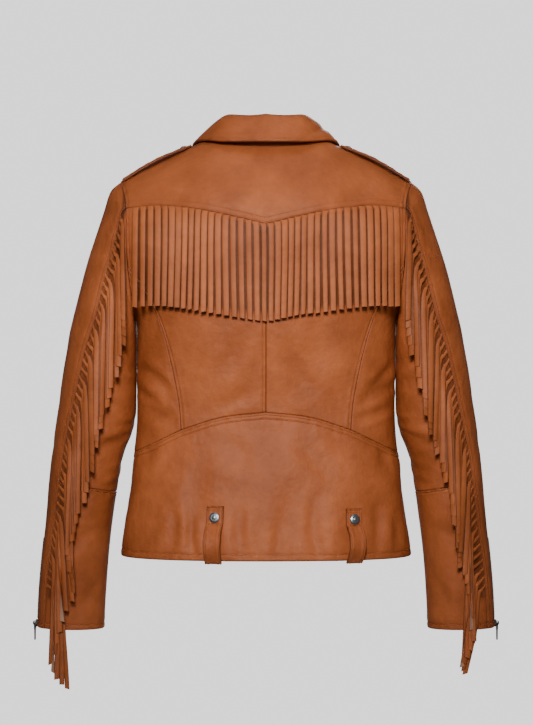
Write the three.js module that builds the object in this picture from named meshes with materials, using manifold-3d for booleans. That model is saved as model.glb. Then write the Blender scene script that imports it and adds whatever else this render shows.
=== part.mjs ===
// A short fringed leather jacket, filled out as if worn, with its back facing -Y.
// Millimetres, +Z up. The origin is the middle of the neck between the shoulders.
import * as THREE from 'three';
import Module from 'manifold-3d';

const wasm = await Module();
wasm.setup();

// Driving dimensions
const CLOTH = 2.0;
const SEAM_GAP = 0.3;
const NECK_HALF = 72;
const SHOULDER_TOP = 18;
const SHOULDER_SLOPE = 0.5;
const SHOULDER_HALF = 201;
const BACK_ROUNDING = 115;
const FRONT_ROUNDING = 95;
const BACK_FLATNESS = 0.15;
const FRONT_NECK_DROP = 93;
const UNDERARM_Z = -235;
const HEM_Z = -560;
const ZIP_HALF = 4;
const ZIP_CHAIN = 7.3;
const CUFF_ZIP_LENGTH = 110;
const CUFF_ZIP_END = 10;

const FRINGE = { thick: 0.9, lift: 1.2, shingle: 0.13, yokeWidth: 9.0, sleeveWidth: 8, sleevePitch: 11.5 };
const YOKE_STRANDS = 38;
const SLEEVE_FRINGE_LENGTH = 148;

// The torso seen from behind: half its width at each height
const WIDTHS = [
  { z: -45, half: 250 }, { z: -100, half: 246 }, { z: -140, half: 240 }, { z: -160, half: 232 },
  { z: -190, half: 215 }, { z: -215, half: 196 }, { z: UNDERARM_Z, half: 180 }, { z: -265, half: 178 },
  { z: -370, half: 178 }, { z: -402, half: 180 }, { z: -435, half: 184 }, { z: -468, half: 187 },
  { z: -501, half: 192 }, { z: -534, half: 197 }, { z: HEM_Z, half: 200 },
];
// The torso seen from the side: how far the back and the front stand out from the side seams
const DEPTHS = [
  { z: 18, back: 70, front: 62 }, { z: -40, back: 88, front: 60 }, { z: -78, back: 96, front: 62 },
  { z: -120, back: 103, front: 80 }, { z: -180, back: 102, front: 104 }, { z: -250, back: 95, front: 118 },
  { z: -300, back: 86, front: 112 }, { z: -370, back: 78, front: 98 }, { z: -450, back: 90, front: 99 },
  { z: HEM_Z, back: 104, front: 106 },
];
// Seams on the back, as x and z seen from behind; the other half mirrors them
const YOKE_SEAM = [
  { x: 0, z: -110 }, { x: 46, z: -99 }, { x: 94, z: -89 }, { x: 148, z: -83 },
  { x: 190, z: -86 },
];
const ARCH_SEAM = [{ x: 0, z: -362 }, { x: 60, z: -369 }, { x: 115, z: -386 }, { x: 181, z: -418 }];
const PRINCESS_SEAM = [
  { x: 115, z: -386 }, { x: 118, z: -350 }, { x: 127, z: -302 }, { x: 138, z: -260 },
  { x: 150, z: -226 }, { x: 187, z: -165 },
];
const BACK_ARMHOLE = [
  { x: 180, z: UNDERARM_Z }, { x: 181, z: -215 }, { x: 184, z: -190 }, { x: 187, z: -165 },
  { x: 188.5, z: -140 }, { x: 189.5, z: -112 }, { x: 190, z: -86 }, { x: 191.5, z: -74 },
  { x: 194, z: -64 }, { x: 197, z: -56 }, { x: 199.4, z: -50 }, { x: SHOULDER_HALF, z: null },
];
const FRONT_ARMHOLE = [
  { x: SHOULDER_HALF, z: null }, { x: 198, z: -52 }, { x: 193, z: -62 }, { x: 186, z: -82 },
  { x: 178, z: -108 }, { x: 173, z: -138 }, { x: 172, z: -168 }, { x: 174, z: -195 },
  { x: 177, z: -218 }, { x: 180, z: UNDERARM_Z },
];

// The sleeve: its outer and inner edge seen from behind, half its depth, its middle's place along Y,
// and the angle of its back seam from the outer edge
const SLEEVE = [
  { outX: 201, outZ: -46.6, inX: 180.5, inZ: -236, depth: 66, y: 0, seam: 96, step: 0 },
  { outX: 214, outZ: -59, inX: 184.5, inZ: -243, depth: 64, y: 0, seam: 94, step: 0.03 },
  { outX: 223.5, outZ: -87, inX: 184.5, inZ: -254, depth: 62, y: 1, seam: 90, step: 0.08 },
  { outX: 234.6, outZ: -120, inX: 185.5, inZ: -268, depth: 61, y: 2, seam: 84, step: 0.13 },
  { outX: 247, outZ: -158, inX: 185.5, inZ: -287, depth: 60, y: 3, seam: 77, step: 0.19 },
  { outX: 259, outZ: -204, inX: 185, inZ: -312, depth: 59, y: 4, seam: 71, step: 0.26 },
  { outX: 270.5, outZ: -252, inX: 185, inZ: -338, depth: 57, y: 5, seam: 64, step: 0.34 },
  { outX: 279, outZ: -300, inX: 186, inZ: -366, depth: 55, y: 6, seam: 60, step: 0.42 },
  { outX: 286, outZ: -346, inX: 190, inZ: -392, depth: 53, y: 8, seam: 57, step: 0.5 },
  { outX: 292, outZ: -390, inX: 197.5, inZ: -422, depth: 51, y: 10, seam: 54, step: 0.57 },
  { outX: 297.5, outZ: -432, inX: 203.5, inZ: -455, depth: 49, y: 12, seam: 52, step: 0.64 },
  { outX: 300, outZ: -455, inX: 206.8, inZ: -473, depth: 48, y: 13.6, seam: 51, step: 0.671 },
  { outX: 306, outZ: -518, inX: 214.5, inZ: -528, depth: 45, y: 19, seam: 48, step: 0.77 },
  { outX: 311.5, outZ: -565, inX: 219.3, inZ: -572, depth: 42, y: 23, seam: 45, step: 0.85 },
  { outX: 316, outZ: -615, inX: 223, inZ: -619, depth: 40, y: 27, seam: 43, step: 0.93 },
  { outX: 318.5, outZ: -663, inX: 225.5, inZ: -664.5, depth: 38, y: 31, seam: 42, step: 1 },
];
const SLEEVE_LENGTH = 620;
const ELBOW_STATION = 11;
const SLEEVE_FRINGE_START = 0.035;
const SLEEVE_FRINGE_END_Z = -602;
const SLEEVE_FRINGE_INNER = 192.5;

// Soft folds of the body cloth: middle, lean, half length, half width and how far they stand out
const BODY_FOLDS = [
  { x: -124, z: -500, lean: 4, long: 75, wide: 16, out: 3.5 },
  { x: -50, z: -520, lean: -3, long: 60, wide: 15, out: 3 },
  { x: 30, z: -505, lean: 2, long: 70, wide: 18, out: -3 },
  { x: 96, z: -520, lean: 5, long: 62, wide: 14, out: 3.5 },
  { x: 150, z: -490, lean: -6, long: 68, wide: 15, out: -3 },
  { x: -90, z: -470, lean: 7, long: 60, wide: 14, out: -2.5 },
  { x: 60, z: -300, lean: 12, long: 60, wide: 20, out: -2.5 },
  { x: -64, z: -310, lean: -10, long: 66, wide: 22, out: 2.5 },
];
// Soft folds of a sleeve: place along it, angle round it from the outer edge, half sizes and depth
const SLEEVE_FOLDS = [
  { step: 0.36, angle: 150, long: 0.05, round: 45, out: -4 },
  { step: 0.5, angle: 165, long: 0.035, round: 50, out: -4 },
  { step: 0.57, angle: 150, long: 0.03, round: 55, out: 4 },
  { step: 0.64, angle: 140, long: 0.035, round: 50, out: -4 },
  { step: 0.72, angle: -150, long: 0.04, round: 50, out: 3 },
  { step: 0.3, angle: -140, long: 0.05, round: 40, out: 3 },
];

// The collar at angles round the neck from the back middle: the stand's height, where its top lies,
// and the fall's lower edge
const COLLAR = [
  { angle: 0, rise: 40, topX: 0, topY: -35, edgeX: 0, edgeY: -62, edgeZ: 8 },
  { angle: 45, rise: 35, topX: 42, topY: -26, edgeX: 58, edgeY: -50, edgeZ: 8.5 },
  { angle: 90, rise: 24, topX: 58, topY: 4, edgeX: 99, edgeY: -2, edgeZ: 10 },
  { angle: 112, rise: 21, topX: 55, topY: 36, edgeX: 105, edgeY: 43, edgeZ: -12 },
  { angle: 135, rise: 20, topX: 45, topY: 51, edgeX: 97, edgeY: 68, edgeZ: -48 },
  { angle: 176, rise: 20, topX: 5, topY: 58, edgeX: 62, edgeY: 92, edgeZ: -108 },
];

const TAB = { outer: 197, inner: 103, outerHalf: 22, innerHalf: 17, lift: 0.4, arch: 4.5 };
const LOOPS = [
  { name: 'left', x: -67.5, lean: -2.4, top: -487 },
  { name: 'right', x: 117.5, lean: 0, top: -491 },
];
const LOOP = {
  half: 11.5, thick: 2, arch: 14, below: 4, rows: [0, 0.1, 0.2, 0.31, 0.45, 0.6, 0.75, 0.9, 1],
};
const PULL = { plate: 3, window: 3.2, crown: 1.2, half: 3.4, bar: 0.75, hole: 5, length: 24, wide: 2.4 };

const FINISHES = {
  leather: { color: 0xa8602f, roughness: 0.55, metalness: 0 },
  suede_edge: { color: 0x9c5729, roughness: 0.7, metalness: 0 },
  dark_metal: { color: 0x3c3b3a, roughness: 0.4, metalness: 0.9 },
  grey_metal: { color: 0x7d868a, roughness: 0.35, metalness: 0.95 },
};

const group = new THREE.Group();
const vec = (x, y, z) => new THREE.Vector3(x, y, z);
const radians = THREE.MathUtils.degToRad;

// A smooth curve through one column of a table of rows, read at a value of its first column
function readTable(rows, key, column, value) {
  const last = rows.length - 1;
  const falling = rows[0][key] > rows[last][key];
  let i = 0;
  while (i < last - 1 && (falling ? rows[i + 1][key] > value : rows[i + 1][key] < value)) i += 1;
  const slope = (k) => {
    const a = rows[Math.max(0, k - 1)];
    const b = rows[Math.min(last, k + 1)];
    return (b[column] - a[column]) / (b[key] - a[key]);
  };
  const span = rows[i + 1][key] - rows[i][key];
  const t = (value - rows[i][key]) / span;
  if (t < 0) return rows[i][column] + slope(i) * span * t;
  if (t > 1) return rows[i + 1][column] + slope(i + 1) * span * (t - 1);
  const a = (2 * t ** 3 - 3 * t * t + 1) * rows[i][column] + (t ** 3 - 2 * t * t + t) * slope(i) * span;
  return a + (3 * t * t - 2 * t ** 3) * rows[i + 1][column] + (t ** 3 - t * t) * slope(i + 1) * span;
}

function bump(distance) {
  return Math.abs(distance) >= 1 ? 0 : (1 - distance * distance) ** 2;
}

// Height of the shoulder seam over a distance from the middle
function shoulderHeight(x) {
  const past = Math.abs(x) - NECK_HALF;
  return SHOULDER_TOP - SHOULDER_SLOPE / 2 * (past + Math.sqrt(past * past + 144));
}

// Square of how far the cloth stands out from the side seams, at a place seen from behind or before
function squareDepth(side, x, z) {
  const clamped = Math.min(WIDTHS[0].z, z);
  const across = (x / readTable(WIDTHS, 'z', 'half', clamped)) ** 2;
  const depth = readTable(DEPTHS, 'z', side < 0 ? 'back' : 'front', Math.max(HEM_Z, Math.min(18, z)));
  const below = Math.min(1, (shoulderHeight(x) - z) / (side < 0 ? BACK_ROUNDING : FRONT_ROUNDING));
  return depth * depth * (1 - across) * (1 + BACK_FLATNESS * across) ** 2 * (1 - (1 - below) ** 2);
}

function bodyFold(side, x, z) {
  let out = 0;
  for (const fold of BODY_FOLDS) {
    const along = (z - fold.z) / fold.long;
    const across = (side * -x - fold.x - fold.lean * along) / fold.wide;
    out += fold.out * bump(along) * bump(across / 1.6);
  }
  return out;
}

// A point of the body's outer surface with its outward direction
function bodyPoint(side, x, z, lift = 0) {
  const step = 0.5;
  const square = squareDepth(side, x, z);
  const plain = Math.sqrt(Math.max(0, square));
  const fold = bodyFold(side, x, z) * Math.min(1, plain / 45);
  const slopeX = (squareDepth(side, x + step, z) - squareDepth(side, x - step, z)) / (2 * step);
  const slopeZ = (squareDepth(side, x, z + step) - squareDepth(side, x, z - step)) / (2 * step);
  const normal = vec(-slopeX, 2 * side * plain, -slopeZ).normalize();
  const point = vec(x, side * (plain + fold), z).addScaledVector(normal, lift);
  return { point, normal };
}

// A closed wall between an outer grid of points and the same grid moved inward
function wallGeometry(rows, thickness) {
  const high = rows.length;
  const wide = rows[0].length;
  const positions = [];
  for (const moved of [0, thickness]) {
    for (const row of rows) {
      for (const cell of row) {
        const p = cell.point.clone().addScaledVector(cell.normal, -moved);
        positions.push(p.x, p.y, p.z);
      }
    }
  }
  const outer = (r, c) => r * wide + c;
  const inner = (r, c) => high * wide + r * wide + c;
  const faces = [];
  const quad = (a, b, c, d) => faces.push(a, b, c, a, c, d);
  for (let r = 0; r < high - 1; r += 1) {
    for (let c = 0; c < wide - 1; c += 1) {
      quad(outer(r, c), outer(r, c + 1), outer(r + 1, c + 1), outer(r + 1, c));
      quad(inner(r, c), inner(r + 1, c), inner(r + 1, c + 1), inner(r, c + 1));
    }
  }
  for (let r = 0; r < high - 1; r += 1) {
    quad(outer(r, 0), outer(r + 1, 0), inner(r + 1, 0), inner(r, 0));
    quad(outer(r, wide - 1), inner(r, wide - 1), inner(r + 1, wide - 1), outer(r + 1, wide - 1));
  }
  for (let c = 0; c < wide - 1; c += 1) {
    quad(outer(0, c), inner(0, c), inner(0, c + 1), outer(0, c + 1));
    quad(outer(high - 1, c), outer(high - 1, c + 1), inner(high - 1, c + 1), inner(high - 1, c));
  }
  return closedGeometry(positions, faces);
}

// Turns faces out if they point in
function closedGeometry(positions, faces) {
  const corner = (i) => vec(positions[3 * i], positions[3 * i + 1], positions[3 * i + 2]);
  let volume = 0;
  for (let i = 0; i < faces.length; i += 3) {
    volume += corner(faces[i]).dot(corner(faces[i + 1]).cross(corner(faces[i + 2])));
  }
  if (volume < 0) faces.reverse();
  const geometry = new THREE.BufferGeometry();
  geometry.setAttribute('position', new THREE.Float32BufferAttribute(positions, 3));
  geometry.setIndex(faces);
  geometry.computeVertexNormals();
  return geometry;
}

function addNode(name, geometry, finish, place = null) {
  const mesh = new THREE.Mesh(geometry, new THREE.MeshStandardMaterial(FINISHES[finish]));
  mesh.name = name;
  if (place) {
    mesh.position.copy(place.at);
    mesh.rotation.copy(place.turn);
  }
  group.add(mesh);
  return mesh;
}

// Points of a seam table at even steps along it, as x and z with the sign of one half
function alongSeam(table, half, count) {
  const curve = new THREE.CatmullRomCurve3(table.map((row) => vec(row.x, 0, row.z)), false, 'chordal');
  return curve.getSpacedPoints(count).map((p) => ({ x: half * p.x, z: p.z }));
}

function armholeSamples(table, half) {
  return table.map((row) => ({ x: half * row.x, z: row.z ?? shoulderHeight(row.x) }));
}

// Angle across the body that belongs to a place seen from behind
function acrossAngle(sample) {
  const ratio = sample.x / readTable(WIDTHS, 'z', 'half', Math.min(WIDTHS[0].z, sample.z));
  return Math.asin(Math.max(-1, Math.min(1, ratio)));
}

// Inward directions that two pieces share where they meet at an angle
const sharedNormals = new Map();
const placeKey = (p) => `${p.x.toFixed(2)},${p.y.toFixed(2)},${p.z.toFixed(2)}`;

// A panel of the body between four edges; each edge runs left to right or top to bottom
function bodyPanel(side, top, bottom, left, right, rowEase = (t) => t) {
  const high = left.length - 1;
  const wide = top.length - 1;
  const flat = (s) => ({ u: acrossAngle(s), z: s.z });
  const [t, b, l, r] = [top, bottom, left, right].map((edge) => edge.map(flat));
  const rows = [];
  for (let i = 0; i <= high; i += 1) {
    const v = rowEase(i / high);
    const row = [];
    for (let j = 0; j <= wide; j += 1) {
      const u = j / wide;
      const blend = (key) => (1 - v) * t[j][key] + v * b[j][key] + (1 - u) * l[i][key] + u * r[i][key]
        - (1 - u) * (1 - v) * t[0][key] - u * (1 - v) * t[wide][key]
        - (1 - u) * v * b[0][key] - u * v * b[wide][key];
      const z = blend('z');
      const width = readTable(WIDTHS, 'z', 'half', Math.min(WIDTHS[0].z, z));
      let x = width * Math.sin(blend('u'));
      let height = z;
      const edges = [i === 0 && top[j], i === high && bottom[j], j === 0 && left[i], j === wide && right[i]];
      edges.filter(Boolean).forEach((edge) => {
        x = edge.x;
        height = edge.z;
      });
      const cell = bodyPoint(side, x, height);
      cell.normal = sharedNormals.get(placeKey(cell.point)) ?? cell.normal;
      row.push(cell);
    }
    rows.push(row);
  }
  return rows;
}

// Draws the edges of a grid of cells in by half the gap between two pieces
function drawIn(rows, edges) {
  const high = rows.length - 1;
  const wide = rows[0].length - 1;
  const moves = [];
  const pull = (r, c, innerR, innerC, beforeR, beforeC, afterR, afterC) => {
    const cell = rows[r][c];
    const along = rows[afterR][afterC].point.clone().sub(rows[beforeR][beforeC].point).normalize();
    const inward = rows[innerR][innerC].point.clone().sub(cell.point);
    inward.addScaledVector(along, -inward.dot(along)).addScaledVector(cell.normal, -inward.dot(cell.normal));
    moves.push({ cell, move: inward.normalize().multiplyScalar(SEAM_GAP / 2) });
  };
  for (let c = 0; c <= wide; c += 1) {
    const before = Math.max(0, c - 1);
    const after = Math.min(wide, c + 1);
    if (edges.includes('top')) pull(0, c, 1, c, 0, before, 0, after);
    if (edges.includes('bottom')) pull(high, c, high - 1, c, high, before, high, after);
  }
  for (let r = 0; r <= high; r += 1) {
    const before = Math.max(0, r - 1);
    const after = Math.min(high, r + 1);
    if (edges.includes('left')) pull(r, 0, r, 1, before, 0, after, 0);
    if (edges.includes('right')) pull(r, wide, r, wide - 1, before, wide, after, wide);
  }
  moves.forEach(({ cell, move }) => cell.point.add(move));
  return rows;
}

// A point of a sleeve's plain surface, at a step along it and an angle from its outer edge
function sleevePlain(half, step, angle) {
  const read = (column) => readTable(SLEEVE, 'step', column, step);
  const outer = vec(read('outX'), 0, read('outZ'));
  const inner = vec(read('inX'), 0, read('inZ'));
  const middle = outer.clone().add(inner).multiplyScalar(0.5);
  const spread = outer.clone().sub(inner).multiplyScalar(0.5);
  const a = radians(angle);
  const point = middle.addScaledVector(spread, Math.cos(a));
  point.y += read('y') + read('depth') * Math.sin(a);
  point.x *= half;
  return point;
}

// Samples round the armhole, from the underarm up the back, over the shoulder and down the front
function armholeLoop(half) {
  const back = armholeSamples(BACK_ARMHOLE, half).map((s) => bodyPoint(-1, s.x, s.z));
  const front = armholeSamples(FRONT_ARMHOLE, half).slice(1).map((s) => bodyPoint(1, s.x, s.z));
  return back.concat(front);
}

const BACK_SEAM_COLUMN = 6;
const TOP_COLUMN = BACK_ARMHOLE.length - 1;
const FRONT_SEAM_COLUMN = TOP_COLUMN + 4;
const LAST_COLUMN = TOP_COLUMN + FRONT_ARMHOLE.length - 1;
const ARMHOLE_BLEND = 0.3;
const CUFF_ZIP_COLUMN = TOP_COLUMN + 0.45;

// Angle of each column of a sleeve's grid
function columnAngle(column, step) {
  const seam = readTable(SLEEVE, 'step', 'seam', step);
  if (column <= BACK_SEAM_COLUMN) return -180 + (180 - seam) * column / BACK_SEAM_COLUMN;
  if (column <= TOP_COLUMN) return -seam * (TOP_COLUMN - column) / (TOP_COLUMN - BACK_SEAM_COLUMN);
  return 180 * (column - TOP_COLUMN) / (LAST_COLUMN - TOP_COLUMN);
}

// A sleeve's surface, which grows out of the armhole
function sleevePoint(half, loop, step, column) {
  const low = Math.floor(column);
  const high = Math.min(LAST_COLUMN, low + 1);
  const angle = columnAngle(column, step);
  const plain = sleevePlain(half, step, angle);
  const share = Math.min(1, Math.max(0, step) / ARMHOLE_BLEND);
  const blend = share * share * (3 - 2 * share);
  if (blend < 1) {
    const start = loop[low].point.clone().lerp(loop[high].point, column - low);
    const first = sleevePlain(half, 0, columnAngle(column, 0));
    start.add(plain).sub(first);
    plain.lerp(start, 1 - blend);
  }
  return plain;
}

function sleeveFold(step, angle) {
  let out = 0;
  for (const fold of SLEEVE_FOLDS) {
    const turn = ((angle - fold.angle + 540) % 360) - 180;
    out += fold.out * bump((step - fold.step) / fold.long / 1.5) * bump(turn / fold.round);
  }
  return out;
}

// The outward direction of a sleeve's surface, with the folds' lift on its points
function sleeveCell(half, loop, step, column, lift = 0) {
  const s0 = Math.max(0.0005, step);
  const ahead = sleevePoint(half, loop, s0 + 0.004, column);
  const behind = sleevePoint(half, loop, Math.max(0, s0 - 0.004), column);
  const wrap = (c) => (c + LAST_COLUMN) % LAST_COLUMN;
  const left = sleevePoint(half, loop, s0, wrap(column + 0.15));
  const right = sleevePoint(half, loop, s0, wrap(column - 0.15 + LAST_COLUMN));
  const normal = ahead.sub(behind).cross(left.sub(right)).normalize();
  if (half < 0) normal.negate();
  const fold = sleeveFold(step, columnAngle(column, step));
  const point = sleevePoint(half, loop, step, column).addScaledVector(normal, lift + fold);
  return { point, normal };
}

const loops = { '-1': armholeLoop(-1), '1': armholeLoop(1) };

// The first ring of each sleeve and the body share their inward directions where they bulge out
function shareArmhole(half) {
  const loop = loops[half];
  loop.forEach((cell, column) => {
    const sleeve = sleeveCell(half, loop, 0, column === LAST_COLUMN ? 0 : column);
    const together = cell.normal.clone().add(sleeve.normal);
    if (cell.normal.dot(sleeve.normal) > 0.1) {
      sharedNormals.set(placeKey(cell.point), together.normalize());
    }
  });
}
shareArmhole(-1);
shareArmhole(1);

function sleeveGrid(half, fromColumn, toColumn, fromStation, toStation) {
  const loop = loops[half];
  const rows = [];
  for (let k = fromStation; k <= toStation; k += 1) {
    const row = [];
    for (let c = fromColumn; c <= toColumn; c += 1) {
      const column = (c + LAST_COLUMN) % LAST_COLUMN;
      const cell = sleeveCell(half, loop, SLEEVE[k].step, column);
      if (k === 0) {
        const body = loop[column];
        cell.normal = sharedNormals.get(placeKey(body.point)) ?? cell.normal;
        const next = sleeveCell(half, loop, SLEEVE[1].step, column).point.sub(body.point).normalize();
        cell.point.copy(body.point).addScaledVector(next.add(body.normal).normalize(), SEAM_GAP * 1.3);
      }
      row.push(cell);
    }
    rows.push(row);
  }
  return rows;
}

function addSleeve(side, half) {
  const last = SLEEVE.length - 1;
  const top = sleeveGrid(half, BACK_SEAM_COLUMN, FRONT_SEAM_COLUMN, 0, last);
  addNode(`sleeve_${side}_top`, wallGeometry(drawIn(top, ['left', 'right']), CLOTH), 'leather');
  const first = FRONT_SEAM_COLUMN - LAST_COLUMN;
  const upper = sleeveGrid(half, first, BACK_SEAM_COLUMN, 0, ELBOW_STATION);
  const lower = sleeveGrid(half, first, BACK_SEAM_COLUMN, ELBOW_STATION, last);
  addNode(`sleeve_${side}_under_upper`,
    wallGeometry(drawIn(upper, ['left', 'right', 'bottom']), CLOTH), 'leather');
  addNode(`sleeve_${side}_under_lower`,
    wallGeometry(drawIn(lower, ['left', 'right', 'top']), CLOTH), 'leather');
}

const CENTRE_COLUMNS = 9;
const SHOULDER_COLUMNS = 4;
const SIDE_COLUMNS = 3;
const PRINCESS_ROWS = 7;
const LOWER_ROWS = 6;
const YOKE_ROWS = 5;

function neckPoint(angle) {
  const a = radians(angle);
  const x = NECK_HALF * Math.sin(a);
  const side = Math.cos(a) >= 0 ? -1 : 1;
  const edge = shoulderHeight(NECK_HALF);
  const z = side < 0 ? edge * Math.abs(Math.sin(a)) ** 3 : edge + FRONT_NECK_DROP * Math.cos(a);
  return { side, x, z };
}

// Angles round the neck from the front middle on the left, over the back, to the front on the right
const FRONT_NECK_ANGLE = 180 - Math.asin(ZIP_HALF / NECK_HALF) * 180 / Math.PI;
const NECK_ANGLES = [];
for (let i = 5; i > 0; i -= 1) NECK_ANGLES.push(-90 - (FRONT_NECK_ANGLE - 90) * i / 5);
for (let i = -5; i <= 5; i += 1) NECK_ANGLES.push(18 * i);
for (let i = 1; i <= 5; i += 1) NECK_ANGLES.push(90 + (FRONT_NECK_ANGLE - 90) * i / 5);

function shoulderSamples(half) {
  const samples = [];
  for (let i = 0; i < SHOULDER_COLUMNS; i += 1) {
    const x = SHOULDER_HALF + (NECK_HALF - SHOULDER_HALF) * i / SHOULDER_COLUMNS;
    samples.push({ x: half * x, z: shoulderHeight(x) });
  }
  return samples;
}

function even(count, from, to) {
  return Array.from({ length: count + 1 }, (_, i) => ({
    x: from.x + (to.x - from.x) * i / count,
    z: from.z + (to.z - from.z) * i / count,
  }));
}

const sideEdge = (z, half) => ({ x: half * readTable(WIDTHS, 'z', 'half', z), z });
const archCorner = { z: ARCH_SEAM[3].z };
const lowerSide = (half) => even(LOWER_ROWS, archCorner, { z: HEM_Z }).map((s) => sideEdge(s.z, half));
const upperSide = (half) => even(PRINCESS_ROWS, { z: UNDERARM_Z }, archCorner)
  .map((s) => sideEdge(s.z, half));
const centreArch = (half) => alongSeam(ARCH_SEAM.slice(0, 3), half, CENTRE_COLUMNS);
const sideArch = (half) => {
  const line = alongSeam(ARCH_SEAM.slice(2), half, SIDE_COLUMNS);
  line[SIDE_COLUMNS] = sideEdge(archCorner.z, half);
  return line;
};
const princess = (half) => alongSeam(PRINCESS_SEAM, half, PRINCESS_ROWS).reverse();
const yokeSeam = (half) => alongSeam(YOKE_SEAM, half, CENTRE_COLUMNS);
const gentle = (t) => 1 - Math.cos(t * 1.4);
const yokeEase = (t) => gentle(t) / gentle(1);

function addYoke() {
  const neck = NECK_ANGLES.slice(5, 16).map(neckPoint);
  const top = shoulderSamples(-1).concat(neck, shoulderSamples(1).reverse());
  const bottom = yokeSeam(-1).reverse().concat(yokeSeam(1).slice(1));
  const arm = (half) => armholeSamples(BACK_ARMHOLE, half).slice(BACK_SEAM_COLUMN).reverse();
  const rows = bodyPanel(-1, top, bottom, arm(-1), arm(1), yokeEase);
  addNode('back_yoke', wallGeometry(drawIn(rows, ['top', 'bottom', 'left', 'right']), CLOTH), 'leather');
}

function addBackHalf(side, half) {
  const arm = armholeSamples(BACK_ARMHOLE, half);
  const sideTop = arm.slice(0, SIDE_COLUMNS + 1).reverse();
  const sideRows = bodyPanel(-1, sideTop, sideArch(half), princess(half), upperSide(half));
  addNode(`back_side_${side}`,
    wallGeometry(drawIn(sideRows, ['top', 'bottom', 'left', 'right']), CLOTH), 'leather');
  const outer = arm.slice(SIDE_COLUMNS, BACK_SEAM_COLUMN).reverse();
  outer.unshift(arm[BACK_SEAM_COLUMN]);
  outer.push(...princess(half).slice(1));
  const rows = outer.length - 1;
  const middle = even(rows, { x: 0, z: YOKE_SEAM[0].z }, { x: 0, z: ARCH_SEAM[0].z });
  const centre = bodyPanel(-1, yokeSeam(half), centreArch(half), middle, outer);
  addNode(`back_centre_${side}`,
    wallGeometry(drawIn(centre, ['top', 'bottom', 'left', 'right']), CLOTH), 'leather');
}

function archSamples() {
  const full = (half) => centreArch(half).concat(sideArch(half).slice(1));
  return full(-1).reverse().concat(full(1).slice(1));
}

function lowerPanelRows(lift = 0) {
  const top = archSamples();
  const bottom = top.map((sample) => {
    const angle = acrossAngle(sample);
    return { x: WIDTHS.at(-1).half * Math.sin(angle), z: HEM_Z };
  });
  const rows = bodyPanel(-1, top, bottom, lowerSide(-1), lowerSide(1));
  rows.flat().forEach((cell) => cell.point.addScaledVector(cell.normal, lift));
  return rows;
}

function addLowerBack() {
  addNode('back_lower', wallGeometry(drawIn(lowerPanelRows(), ['top', 'left', 'right']), CLOTH), 'leather');
}

// The hidden front, plain, parted down the middle by the zip
function addFront(side, half) {
  const arm = armholeSamples(FRONT_ARMHOLE, half);
  const neck = NECK_ANGLES.slice(15).map(neckPoint).map((s) => ({ x: half * s.x, z: s.z }));
  const topEdge = neck.reverse().concat(shoulderSamples(half).reverse());
  const outer = arm.concat(upperSide(half).slice(1), lowerSide(half).slice(1));
  const rows = outer.length - 1;
  const middleTop = topEdge[0];
  const middle = even(rows, middleTop, { x: half * ZIP_HALF, z: HEM_Z });
  const hem = Array.from({ length: topEdge.length }, (_, i) => {
    const reach = Math.asin(ZIP_HALF / 200);
    const angle = reach + (Math.PI / 2 - reach) * i / (topEdge.length - 1);
    return { x: half * 200 * Math.sin(angle), z: HEM_Z };
  });
  const panel = bodyPanel(1, topEdge, hem, middle, outer);
  addNode(`front_${side}`, wallGeometry(drawIn(panel, ['top', 'right']), CLOTH), 'leather');
}

// The collar has twice the neck's columns, and its foot keeps to the straight runs between them
const COLLAR_ANGLES = NECK_ANGLES.flatMap((angle, i) => (
  i === 0 ? [angle] : [(NECK_ANGLES[i - 1] + angle) / 2, angle]));

function neckFoot(angle) {
  const { side, x, z } = neckPoint(angle);
  return bodyPoint(side, x, z);
}

// Points of the collar at a column round the neck
function collarPoints(column) {
  const angle = COLLAR_ANGLES[column];
  const turn = Math.abs(angle);
  const sign = Math.sign(angle);
  const read = (column) => readTable(COLLAR, 'angle', column, Math.min(176, turn));
  const foot = neckFoot(angle);
  if (column % 2 === 1) {
    const before = neckFoot(COLLAR_ANGLES[column - 1]);
    foot.point.copy(before.point).lerp(neckFoot(COLLAR_ANGLES[column + 1]).point, 0.5);
  }
  const top = vec(sign * read('topX'), read('topY'), neckPoint(angle).z + read('rise'));
  const edge = vec(sign * read('edgeX'), read('edgeY'), read('edgeZ'));
  const away = vec(top.x, top.y - 8, 0).normalize();
  return { foot, top, edge, away };
}

function addCollar() {
  const columns = [...COLLAR_ANGLES.keys()];
  const standRows = [0, 0.5, 1].map((v) => columns.map((column) => {
    const { foot, top, away } = collarPoints(column);
    const lift = vec(0, 0, 1).multiplyScalar(SEAM_GAP);
    const start = foot.point.clone().add(lift).addScaledVector(foot.normal, SEAM_GAP * 0.5);
    return { point: start.lerp(top, v), normal: away.clone() };
  }));
  addNode('collar_stand', wallGeometry(standRows, CLOTH), 'leather');
  const sections = 6;
  const fallRows = Array.from({ length: sections }, (_, i) => columns.map((column) => {
    const { foot, top, edge, away } = collarPoints(column);
    const up = top.clone().sub(foot.point).normalize();
    const start = top.clone().addScaledVector(away, -CLOTH).addScaledVector(up, SEAM_GAP * 1.6);
    const crest = up.clone().add(vec(0, 0, 1)).normalize();
    const curve = new THREE.CubicBezierCurve3(start, start.clone().addScaledVector(crest, 7),
      top.clone().addScaledVector(away, 9).addScaledVector(crest, 9.5), edge);
    const t = (i / (sections - 1)) ** 1.4;
    const point = curve.getPoint(t);
    const tangent = curve.getTangent(t);
    const around = vec(-away.y, away.x, 0);
    return { point, normal: tangent.clone().cross(around).normalize() };
  }));
  const first = fallRows[0];
  first.forEach((cell, column) => cell.normal.copy(collarPoints(column).away).negate());
  addNode('collar_fall', wallGeometry(fallRows, CLOTH), 'leather');
}

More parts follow.
